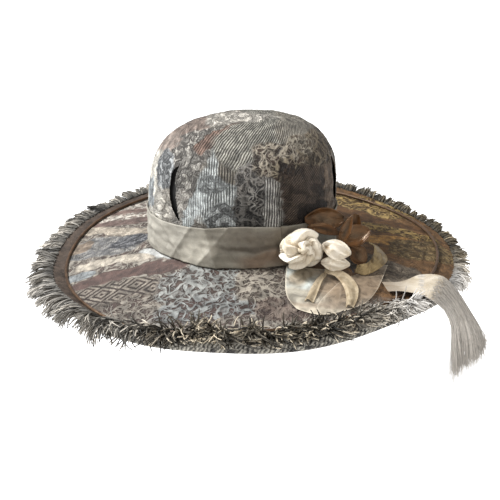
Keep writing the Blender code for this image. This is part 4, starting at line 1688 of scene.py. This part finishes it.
@dataclass(frozen=True)
class Flower:
    """The satin petals and leaves of the trim."""

    columns: int = 24
    rows: int = 34
    wall: float = 1.0
    root: float = 0.06
    span: float = 0.9
    fullness: float = 0.85
    ruffle: float = 0.9
    ruffle_width: float = 20.0
    eye_at: float = 0.16
    eye_depth: float = 3.5
    eye_fold: float = 1.5
    # Painted shade at the petals' bases and in the brown petals' middles.
    base_dark: float = 0.4
    heart_dark: float = 0.9
    least_flat: float = 10.5
    slack: float = 1.1
    cut: float = 0.95
    brown: tuple[Petal, ...] = (
        Petal("brown_petal_top", (99.6, -63.5, 39.2), (61.5, -70.3, 41), (0, -1, 0.35), 22, 5.5, -3),
        Petal("brown_petal_lip", (95, -71, 27.3), (63.5, -75.1, 34.8), (0, -0.7, 0.7), 11.5, 1, 3.5),
        Petal("brown_petal_upright", (95.5, -81.5, 19), (105.5, -80, 47), (-0.2, -1, 0.1), 9, 2.5, 1),
        Petal("brown_petal_right", (96.2, -77.3, 20.2), (124.6, -70.6, 30.5), (-0.2, -0.8, 0.5), 21, 5.5, -2),
        Petal("brown_petal_back", (104, -65, 20), (112.5, -60, 43), (0, -1, 0.3), 16, 4, -1.5),
        Petal("brown_petal_low", (105.5, -78.4, 15), (120.5, -81.7, 0.6), (0.2, -0.7, 0.7), 20, 4.5, -1.5),
    )
    cream: tuple[Petal, ...] = (
        Petal("cream_loop_upper", (77.8, -93, 22.8), (105.5, -89.2, 13.3), (0.1, -0.75, 0.65), 21, -2, 2, 1),
        Petal("cream_loop_lower", (76.5, -96.6, 6.9), (104.5, -93.1, 2.9), (0, -0.9, 0.4), 15, -2, 2, 0.25),
    )

    def surface(self, petal: Petal) -> Surface:
        """The petal's face: widest in its middle, cupped across, bellied along and ruffled.

        Args:
            petal: its row of the table.

        Returns:
            The point for each pair of parts.
        """
        base, tip = Vector(petal.base), Vector(petal.tip)
        axis = tip - base
        face = Vector(petal.face)
        face = (face - axis * face.dot(axis) / axis.length_squared).normalized()
        sideways = axis.cross(face).normalized()

        def place(across: float, up: float) -> Vector:
            """The point at a part across and along the petal.

            Args:
                across: the part across the face, 0 to 1.
                up: the part along it, 0 to 1.

            Returns:
                The point, in millimetres.
            """
            side = 2 * across - 1
            fullness = math.sin(math.pi * (self.root + self.span * up)) ** self.fullness
            proud = petal.belly * math.sin(math.pi * up) + petal.cup * side**2 * fullness
            flat = base + axis * up + sideways * side * fullness * petal.width / 2
            fold = math.sin(math.pi * (1.1 * side + 0.9 * up) + 0.6)
            if petal.eye:
                fold += self.eye_fold * math.sin(math.pi * (2.3 * side - 1.6 * up) + 1.0)
            fold *= self.ruffle * math.sin(math.pi * up) ** 0.5
            proud += fold * petal.width / self.ruffle_width
            return flat + face * (proud - self.eye_depth * petal.eye * self.eye(across, up))

        return place

    def eye(self, across: float, up: float) -> float:
        """How deep the open end of a loop is at a place."""
        return bell(up - self.eye_at, 0.1) * bell(across - 0.55, 0.2)

    def heart(self, across: float, up: float) -> float:
        """How much painted shade a place in the middle of a brown petal gets."""
        return bell(across - 0.35 - 0.25 * up, 0.2) * math.sin(math.pi * min(max(up, 0.0), 1.0)) ** 2

    def hollow(self, petal: Petal, across: float, up: float) -> float:
        """The painted shade of a petal at a place: at its base, in its eye and in its heart."""
        heart = 0.0 if petal.eye else self.heart_dark * self.heart(across, up)
        return petal.eye * self.eye(across, up) + self.base_dark * (1 - ramp(up, 0.0, 0.2)) + heart

    def build(self) -> None:
        """Makes every petal and leaf, and the rosette of the same cream satin."""
        # Each satin's second colour is painted shade in its folds, and its last colour painted shade in
        # recesses.
        brown = Satin("brown_satin", "#5b3c20", "#180c05", 0.28, 1.0, depth=1.8, crease=11, hollow="#0e0602")
        cream = Satin("cream_satin", "#fbf5e8", "#d6c6a8", 0.34, 0.5, depth=2.0, crease=12, hollow="#806b4d")
        finishes = (brown.make(), cream.make())
        for petals, material, slot in zip((self.brown, self.cream), finishes, ("brown_satin", "cream_satin")):
            for petal in petals:
                self.make(petal, material, slot)
        Rosette().build(finishes[1])

    def make(self, petal: Petal, material: bpy.types.Material, slot: str) -> None:
        """Makes one petal or leaf.

        Args:
            petal: its row of the table.
            material: the satin it is cut from.
            slot: the name of the satin's slot, kept in the piece's role and not used.
        """
        long = (Vector(petal.tip) - Vector(petal.base)).length
        name = "satin_" + petal.name.replace("brown_", "").replace("cream_", "")
        size = (self.wall, petal.width, long)
        piece = Sheet(name, self.columns, self.rows, self.surface(petal), *size).build()
        # Painted shade at the base, in the eye and in the heart.
        hollow = [self.hollow(petal, x / petal.width, y / long) for x, y in flat_of(piece)]
        write_points(piece, "hollow", "FLOAT", np.clip(hollow, 0, 1))
        flat = (max(petal.width, self.least_flat) * MM, long * self.slack * MM)
        role = Role(slot, (petal.name,), flat, Held.FOLDED, ("hat_band",), self.cut * flat[0] * flat[1])
        role.enrol(piece, material)


@dataclass(frozen=True)
class Rosette:
    """The wound rosette: folds that swirl out from its middle, each lapping over the next."""

    middle: tuple[float, float, float] = (58.2, -90.5, 17.3)
    facing: tuple[float, float, float] = (0.45, -0.87, 0.1)
    half_width: float = 23.0
    half_height: float = 19.5
    half_depth: float = 15.0
    segments: int = 220
    rings: int = 120
    folds: int = 5
    bud_folds: int = 3
    twist: float = 1.9
    bud_twist: float = 1.6
    heart: tuple[float, float, float] = (-0.22, 0.2, 0.0)
    wander: float = 0.22
    wander_scale: float = 1.6
    depth: float = 0.34
    edge: float = 0.16
    slack: float = 0.8
    crease: float = 0.09
    bud: float = 0.42
    groove: float = 0.13
    fullest: float = 1.03
    cloth_size: float = 0.02

    def build(self, material: bpy.types.Material) -> None:
        """Makes the rosette.

        Args:
            material: the satin it is wound from.
        """
        facing = Vector(self.facing).normalized()
        sideways = Vector((-facing.y, facing.x, 0)).normalized()
        upright = facing.cross(sideways)
        shape = bmesh.new()
        bmesh.ops.create_uvsphere(shape, u_segments=self.segments, v_segments=self.rings, radius=1)
        places, painted_shades = [], []
        for vertex in shape.verts:
            across, up, out = vertex.co
            size, hollow = self.fold(vertex.co.copy())
            place = sideways * across * self.half_width + upright * up * self.half_height
            vertex.co = (Vector(self.middle) + (place + facing * out * self.half_depth) * size) * MM
            places.append((across * self.cloth_size, up * self.cloth_size, 0.0))
            painted_shades.append(hollow)
        piece = to_object("satin_rosette", shape)
        write_points(piece, "cloth_at", "FLOAT_VECTOR", places)
        write_points(piece, "hollow", "FLOAT", painted_shades)
        Role("cream_satin", ("cream_rosette",)).enrol(piece, material)

    def fold(self, place: Vector) -> tuple[float, float]:
        """How far out the satin lies at a place of the bud, and how much painted shade it gets there.

        Args:
            place: the way from the middle, of length 1.

        Returns:
            The distance as a share of the size, and the painted shade from 0 to 1.
        """
        away = Vector((place.x, place.y, 0.0)) - Vector(self.heart)
        scaled = place * self.wander_scale
        wander = Vector((noise.noise(scaled), noise.noise(scaled + Vector((4.0, 1.0, 2.0))), 0.0))
        away += wander * self.wander
        outward = ramp(away.length, self.bud * 0.97, self.bud * 1.03)
        outer = self.lap(away, self.folds, self.twist)
        inner = self.lap(away, self.bud_folds, self.twist * self.bud_twist)
        lap = inner + (outer - inner) * outward
        depth = self.depth * ramp(away.length, 0.02, 0.3) * ramp(place.z, -0.6, -0.2)
        groove = outward * (1 - ramp(away.length, self.bud, self.bud + 0.3)) * (place.z > 0)
        size = self.fullest - depth * (1 - lap) - self.groove * groove
        # Painted shade where each lap tucks under the next and in the groove round the bud.
        return size, 0.8 * max((1 - lap) ** 4, groove**3) * ramp(away.length, 0.0, 0.2)

    def lap(self, away: Vector, folds: int, twist: float) -> float:
        """How high a ring of lapped folds stands: steep at each edge and slack behind it.

        Args:
            away: the place from the bud's heart.
            folds: how many laps go round.
            twist: how far they turn on their way out.

        Returns:
            The height, about 0 to 1.
        """
        share = (folds * math.atan2(away.y, away.x) / TURN + folds * twist * away.length / 6) % 1
        crease = self.crease * math.sin(TURN * (share * 2.5 + away.length))
        return ramp(share, 0.0, self.edge) * (1 - self.slack * ramp(share, self.edge, 1.0)) + crease


class Layer(NamedTuple):
    """A flat piece on the brim: its corners, the bow of its near edge and its lift."""

    name: str
    far_left: tuple[float, float]
    far_right: tuple[float, float]
    near_left: tuple[float, float]
    near_right: tuple[float, float]
    bow: float
    lift: float


class RibbonPlace(NamedTuple):
    """A place along a ribbon that lies on the brim: its middle, width and lift."""

    x: float
    y: float
    width: float
    lift: float


@dataclass(frozen=True)
class Streamer:
    """A ribbon end that falls from the rosette over the organza."""

    name: str
    replaces: str
    path: tuple[RibbonPlace, ...]
    columns: int = 24
    rows: int = 60
    wall: float = 0.6
    arch: float = 1.6
    fold: float = 0.8
    fine: float = 0.25
    gathered: float = 1.15
    cut: float = 1.2
    least_flat: float = 10.1

    def surface(self, form: BrimForm) -> Surface:
        """The ribbon's upper face, arched across and drawn into folds.

        Args:
            form: the brim that it lies on.

        Returns:
            The point for each pair of parts.
        """

        def place(across: float, up: float) -> Vector:
            """The point at a part across and along the ribbon.

            Args:
                across: the part across the face, 0 to 1.
                up: the part along it, 0 to 1.

            Returns:
                The point, in millimetres.
            """
            row, after, before = (along(self.path, up + step) for step in (0, 0.01, -0.01))
            way = Vector((after.x - before.x, after.y - before.y)).normalized()
            side = 2 * across - 1
            flat = Vector((row.x, row.y)) + Vector((way.y, -way.x)) * side * row.width / 2
            fold = self.fold * math.sin(TURN * (1.3 * across + 0.5 * up))
            fold += self.fine * math.sin(13 * across + 4 * up)
            return form.over(flat.x, flat.y, row.lift + self.arch * (1 - side**2) + fold)

        return place

    def build(self, form: BrimForm, material: bpy.types.Material) -> None:
        """Makes the ribbon end.

        Args:
            form: the brim that it lies on.
            material: its satin.
        """
        places = [Vector((place.x, place.y)) for place in self.path]
        long = sum((second - first).length for first, second in zip(places, places[1:]))
        wide = sum(place.width for place in self.path) / len(self.path)
        size = (self.wall, wide, long)
        piece = Sheet(self.name, self.columns, self.rows, self.surface(form), *size).build()
        flat = (max(wide * self.gathered, self.least_flat) * MM, long * MM)
        area = min(wide * self.cut * long * MM**2, flat[0] * flat[1])
        Role("cream_satin", (self.replaces,), flat, Held.LAID, ("brim_cloth",), area).enrol(piece, material)


@dataclass(frozen=True)
class Layers:
    """The organza pieces and ribbon ends that lie on the brim."""

    form: BrimForm
    columns: int = 60
    rows: int = 60
    rounding: float = 0.4
    rounding_power: int = 7
    ripple: float = 0.5
    ripple_size: float = 14.0
    hem: float = 1.8
    organza: tuple[Layer, ...] = (
        Layer("organza_square", (43.5, -83.0), (98.0, -86.0), (39.5, -142.0), (91.0, -152.0), 10.0, 1.5),
        Layer("organza_fold", (96.0, -104.0), (144.5, -64.0), (60.0, -160.0), (126.0, -130.0), 8.0, 3.2),
    )
    ribbons: tuple[Streamer, ...] = (
        Streamer(
            "satin_end_left",
            "ribbon_end_left",
            (
                RibbonPlace(80.0, -99.0, 5.0, 4.5),
                RibbonPlace(74.0, -110.0, 7.0, 3.5),
                RibbonPlace(68.5, -124.0, 8.5, 3.0),
                RibbonPlace(63.0, -140.0, 9.0, 3.0),
            ),
        ),
        Streamer(
            "satin_end_right",
            "ribbon_end_right",
            (
                RibbonPlace(80.0, -97.0, 8.0, 6.5),
                RibbonPlace(94.0, -101.0, 13.0, 6.5),
                RibbonPlace(103.0, -116.0, 14.0, 5.0),
                RibbonPlace(103.5, -134.0, 11.0, 4.8),
                RibbonPlace(100.0, -149.0, 7.0, 4.8),
            ),
        ),
    )
    patches: tuple[Patch, ...] = (
        Patch(0, 0, 1, 1, 0, "#ab9b86", "#8f8676", 0.0),
        Patch(48, -104, 26, 20, 0, "#b7bfba", "#7d8584", 0.0),
        Patch(62, -92, 10, 30, -30, "#a69a84", "#7d8584", 0.0),
        Patch(56, -130, 26, 9, -8, "#aaa392", "#8f8676", 0.0),
        Patch(66, -154, 60, 7, -10, "#c3b7a1", "#b5a78c", 0.0),
        Patch(110, -108, 40, 26, 45, "#9b866c", "#8f8676", 0.0),
    )

    def surface(self, layer: Layer) -> Surface:
        """The layer's upper face, its near edge bowed out and its near corners rounded.

        Args:
            layer: its row of the table.

        Returns:
            The point for each pair of parts.
        """
        corners = [Vector(corner) for corner in layer[1:5]]
        far_left, far_right, near_left, near_right = corners

        def place(across: float, up: float) -> Vector:
            """The point at a part across and along the layer.

            Args:
                across: the part across the face, 0 to 1.
                up: the part along it, 0 to 1.

            Returns:
                The point, in millimetres.
            """
            across = 0.5 + (across - 0.5) * (1 - self.rounding * (1 - up) ** self.rounding_power)
            near = near_left.lerp(near_right, across)
            outward = near.normalized() * layer.bow * math.sin(math.pi * across)
            flat = (near + outward).lerp(far_left.lerp(far_right, across), up)
            rise = self.ripple * rough(Vector((flat.x, flat.y, 0.0)), self.ripple_size, 2.0)
            return self.form.over(flat.x, flat.y, layer.lift + rise)

        return place

    def build(self) -> None:
        """Makes the layers."""
        finishes = (Sheer("sheer_organza", 0.82).make(), Sheer("sheer_organza_fold", 0.6).make())
        for layer, material in zip(self.organza, finishes):
            self.lay(layer, material)
        # The second colour is painted shade in the satin's folds.
        cream = Satin("cream_ribbon", "#cdbea3", "#8f7c60", shine=0.45, cover=0.64, crease=7.0, depth=1.6)
        material = cream.make()
        for ribbon in self.ribbons:
            ribbon.build(self.form, material)

    def lay(self, layer: Layer, material: bpy.types.Material) -> None:
        """Makes one organza piece, with a hem along its edges.

        Args:
            layer: its row of the table.
            material: its organza.
        """
        far_left, far_right, near_left, near_right = (Vector(corner) for corner in layer[1:5])
        wide = (near_right - near_left).length
        long = (far_left - near_left).length
        area = abs((far_right - near_left).cross(far_left - near_right)) / 2
        name = layer.name.replace("organza", "sheer")
        size = (0.0, wide, long)
        piece = Sheet(name, self.columns, self.rows, self.surface(layer), *size).build()
        places, flat_places = points_of(piece), flat_of(piece)
        found = Patchwork(self.patches, lean=LYING, fine_depth=0.5, edge=0.25).colours(places)
        sides = np.stack((flat_places, np.array((wide, long)) - flat_places))
        found[:, 6] = np.clip(1 - sides.min(axis=(0, 2)) / self.hem, 0, 1)
        write_cloth(piece, found, places[:, :2])
        flat = (wide * MM, max(long, area / wide) * MM)
        covered = min(area * MM**2, flat[0] * flat[1])
        Role("organza", (layer.name,), flat, Held.LAID, ("brim_cloth",), covered).enrol(piece, material)


class RibbonSection(NamedTuple):
    """The two edges of a ribbon at one place along it."""

    left_x: float
    left_y: float
    left_z: float
    right_x: float
    right_y: float
    right_z: float


def ribbon_at(sections: Sequence[RibbonSection], across: float, reach: float) -> Vector:
    """The point at a part across a ribbon and along its sections, in millimetres."""
    row = along(sections, reach)
    return Vector(row[:3]).lerp(Vector(row[3:]), across)


@dataclass(frozen=True)
class BeigeLoop:
    """The ribbon loop that stands on its edge beside the flower."""

    columns: int = 16
    rows: int = 60
    size: tuple[float, float, float] = (1.0, 12.0, 65.0)
    flat: tuple[float, float] = (0.013, 0.062)
    sections: tuple[RibbonSection, ...] = (
        RibbonSection(109.5, -90.0, -6.0, 112.0, -86.0, 0.0),
        RibbonSection(120.0, -92.0, -8.4, 121.5, -86.0, 2.0),
        RibbonSection(136.0, -82.0, -4.0, 128.0, -75.0, 6.0),
        RibbonSection(143.5, -60.0, -3.0, 130.0, -62.0, 10.0),
        RibbonSection(134.5, -50.0, 6.0, 126.0, -54.0, 11.0),
    )

    def surface(self, across: float, up: float) -> Vector:
        """The ribbon's face."""
        return ribbon_at(self.sections, across, up)

    def build(self) -> None:
        """Makes the loop."""
        piece = Sheet("satin_side_loop", self.columns, self.rows, self.surface, *self.size).build()
        role = Role("beige_satin", ("beige_ribbon_loop",), self.flat, Held.FOLDED, ("brim_cloth",))
        # The second colour is painted shade in the satin's folds.
        role.enrol(piece, Satin("khaki_satin", "#a18e69", "#4a3b24", 0.3, 0.6, crease=8.0, depth=2.5).make())


@dataclass(frozen=True)
class SilkTail:
    """The raw silk strip that crosses the brim, hangs below its rim and frays."""

    sections: tuple[RibbonSection, ...] = (
        RibbonSection(139.0, -118.1, -14.8, 134.8, -100.7, -11.9),
        RibbonSection(151.9, -119.9, -13.8, 154.2, -99.8, -11.6),
        RibbonSection(167.4, -132.7, -12.0, 173.9, -84.3, -10.8),
        RibbonSection(176.9, -142.0, -14.0, 195.5, -86.7, -11.6),
        RibbonSection(188.5, -136.0, -25.2, 211.0, -88.0, -27.1),
        RibbonSection(195.4, -130.0, -38.2, 217.5, -94.0, -36.3),
        RibbonSection(199.2, -126.0, -49.6, 224.4, -98.0, -47.2),
        RibbonSection(201.0, -122.0, -63.2, 230.8, -100.0, -59.0),
        RibbonSection(202.4, -120.0, -76.8, 235.3, -102.0, -69.1),
        RibbonSection(204.6, -118.0, -99.0, 238.0, -104.0, -77.8),
    )
    columns: int = 70
    rows: int = 120
    size: tuple[float, float, float] = (0.0, 60.0, 150.0)
    flat: tuple[float, float] = (0.045, 0.135)
    cloth_end: float = 0.8
    folded_toward: tuple[float, float, float] = (0.4, -0.9, 0.2)
    fold: float = 1.1
    fine: float = 0.45
    ripple: float = 0.2
    start_dark: float = 0.75
    start_x: tuple[float, float] = (139.0, 172.0)
    fibres: int = 1500
    fibre_points: int = 8
    fibre_radius: float = 0.26
    fibre_light: tuple[float, float] = (0.3, 0.66)
    fibre_green: float = 0.94
    fibre_blue: float = 0.86
    seed: int = 11

    def surface(self, across: float, up: float) -> Vector:
        """The silk's face, with lengthwise folds that grow along it.

        Args:
            across: the part across the face, 0 to 1.
            up: the part along it, 0 to 1.

        Returns:
            The point, in millimetres.
        """
        folds = self.fold * math.sin(TURN * (1.6 * across + 0.3 * up))
        folds += self.fine * math.sin(TURN * 6 * across + 5 * up)
        folds += self.ripple * math.sin(TURN * 15 * across)
        way = Vector(self.folded_toward) * ramp(up, 0.1, 0.8) * folds
        return ribbon_at(self.sections, across, up * self.cloth_end) + way

    def build(self) -> None:
        """Makes the silk and the fibres of its frayed end."""
        # The silk's dark colour is painted shade in its folds, and its last colour painted shade in recesses.
        silk = Satin("raw_silk", "#d6cdbd", "#a08f72", 0.42, 0.35, streak=2600, crease=22, hollow="#75685a")
        piece = Sheet("silk_strip", self.columns, self.rows, self.surface, *self.size).build()
        # Painted shade where the strip starts under the trims.
        starts = [self.start_dark * (1 - ramp(place[0], *self.start_x)) for place in points_of(piece)]
        write_points(piece, "hollow", "FLOAT", starts)
        role = Role("raw_silk", ("silk_tail",), self.flat, Held.DRAPED, ("brim_cloth",))
        role.enrol(piece, silk.make())
        self.fray()

    def fray(self) -> None:
        """Draws the ravelled fibres that lie along the silk and run on from it."""
        chance = random.Random(self.seed)
        threads = Threads("silk_fray", self.fibre_radius, self.fibre_points)
        for _ in range(self.fibres):
            across, end = chance.uniform(0.0, 1.0), chance.uniform(0.93, 1.0)
            start = chance.uniform(0.2, self.cloth_end)
            over = max(chance.gauss(2.0, 5.0), 0.0)
            stray, lift = chance.gauss(0, 0.07), chance.uniform(0.2, 1.6)
            level = chance.uniform(*self.fibre_light)
            shade = (level, level * self.fibre_green, level * self.fibre_blue, 1.0)
            threads.draw(self.path(across, (start, end), over, stray, lift), shade)
        piece = threads.build([1.0] * self.fibre_points)
        Role("raw_silk", ("silk_tail",)).enrol(piece, Yarn("frayed_silk").make())

    def path(
        self, across: float, ends: tuple[float, float], over: float, stray: float, lift: float
    ) -> Iterator[tuple[Vector, float]]:
        """A fibre's places and its share of the radius at each.

        Args:
            across: the part across the silk where it starts.
            ends: where it starts and ends, in parts of the strip's length.
            over: how far its end hangs past the strip, in millimetres.
            stray: how far it strays across, in parts of the strip's width.
            lift: how far it lies off the silk, in millimetres.

        Yields:
            Each place, in millimetres, and the share of the radius there.
        """
        for step in range(self.fibre_points):
            part = step / (self.fibre_points - 1)
            reach = ends[0] + (ends[1] - ends[0]) * part
            place = ribbon_at(self.sections, across + stray * part**2, reach)
            place += self.surface(across, min(reach / self.cloth_end, 1.0))
            place -= ribbon_at(self.sections, across, min(reach, self.cloth_end))
            place += Vector((0.4, -0.9, 0.0)) * lift + Vector((0.15, 0.0, -1.0)) * over * part**4
            yield place, 1 - 0.5 * part


# The studio


@dataclass(frozen=True)
class Studio:
    """The pale floor, the soft lights and the camera."""

    floor_height: float = -0.22
    lens: float = 85.0
    elevation: float = 20.0
    distance: float = 1.228
    target: tuple[float, float, float] = (0.0083, 0.0, -0.016)
    sky: tuple[float, float, float] = (0.97, 0.97, 0.97)
    sky_strength: float = 0.4

    def light(self, name: str, place: Sequence[float], size: float, power: float, colour: str) -> None:
        """Adds a square area light that faces the hat.

        Args:
            name: the light's name.
            place: where it stands, in metres.
            size: its side, in metres.
            power: its power in watts.
            colour: its sRGB code.
        """
        lamp = bpy.data.lights.new(name, "AREA")
        lamp.size = size
        lamp.energy = power
        lamp.color = linear(colour)
        holder = bpy.data.objects.new(name, lamp)
        holder.location = place
        holder.rotation_euler = (Vector(self.target) - Vector(place)).to_track_quat("-Z", "Y").to_euler()
        bpy.context.scene.collection.objects.link(holder)

    def build(self) -> None:
        """Makes the floor, lights, world and camera."""
        scene = bpy.context.scene
        shape = bmesh.new()
        bmesh.ops.create_grid(shape, x_segments=1, y_segments=1, size=30)
        bmesh.ops.translate(shape, verts=shape.verts, vec=(0, 0, self.floor_height))
        floor = to_object("studio_floor", shape)
        dress(floor, Plain("white_paper", "#fdfdfd", 0.9, glow=0.78).make())
        floor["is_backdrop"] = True
        world = bpy.data.worlds.new("studio")
        world.use_nodes = True
        sky = world.node_tree.nodes["Background"]
        sky.inputs["Color"].default_value = (*self.sky, 1)
        sky.inputs["Strength"].default_value = self.sky_strength
        scene.world = world
        self.light("key", (-1.0, 0.0, 1.35), 0.5, 52.0, "#ffffff")
        self.light("fill", (0.5, -1.4, 0.8), 0.9, 6.0, "#fff4e6")
        camera = bpy.data.objects.new("camera", bpy.data.cameras.new("camera"))
        camera.data.lens = self.lens
        tilt = math.radians(self.elevation)
        away = Vector((0, -math.cos(tilt), math.sin(tilt))) * self.distance
        camera.location = Vector(self.target) + away
        camera.rotation_euler = (-away).to_track_quat("-Z", "Y").to_euler()
        scene.collection.objects.link(camera)
        scene.camera = camera
        scene.view_settings.view_transform = "Standard"


def main() -> None:
    """Builds the hat's looks in order."""
    logging.basicConfig(level=logging.INFO, format="%(message)s")
    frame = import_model()
    solid_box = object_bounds()
    crown = CrownForm()
    brim = BrimForm(crown)
    # The lining is near black as painted shade: through the slits it stands in for the shadow deep inside the
    # crown's folds.
    lining = Plain("black_cotton", "#0b0a0a", 0.9)
    stem = Plain("wrapped_stem", "#1c1414", 0.5)
    for name, finish in (("crown_lining", lining), ("flower_stem", stem)):
        dress(frame["nodes"][name], finish.make())
        LOG.info("%s: the solid itself", name)
    hat = (CrownCloth(crown), BrimCloth(brim), HatBand(crown), RimCords(brim), Fringe(brim))
    trims = (Flower(), Layers(brim), BeigeLoop(), SilkTail())
    for group in (Studio(), *hat, *trims):
        group.build()
    boxes = {"cad": solid_box, "visual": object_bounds()}
    {name: [list(corner) for corner in box] for name, box in boxes.items()}


if __name__ == "__main__":
    main()
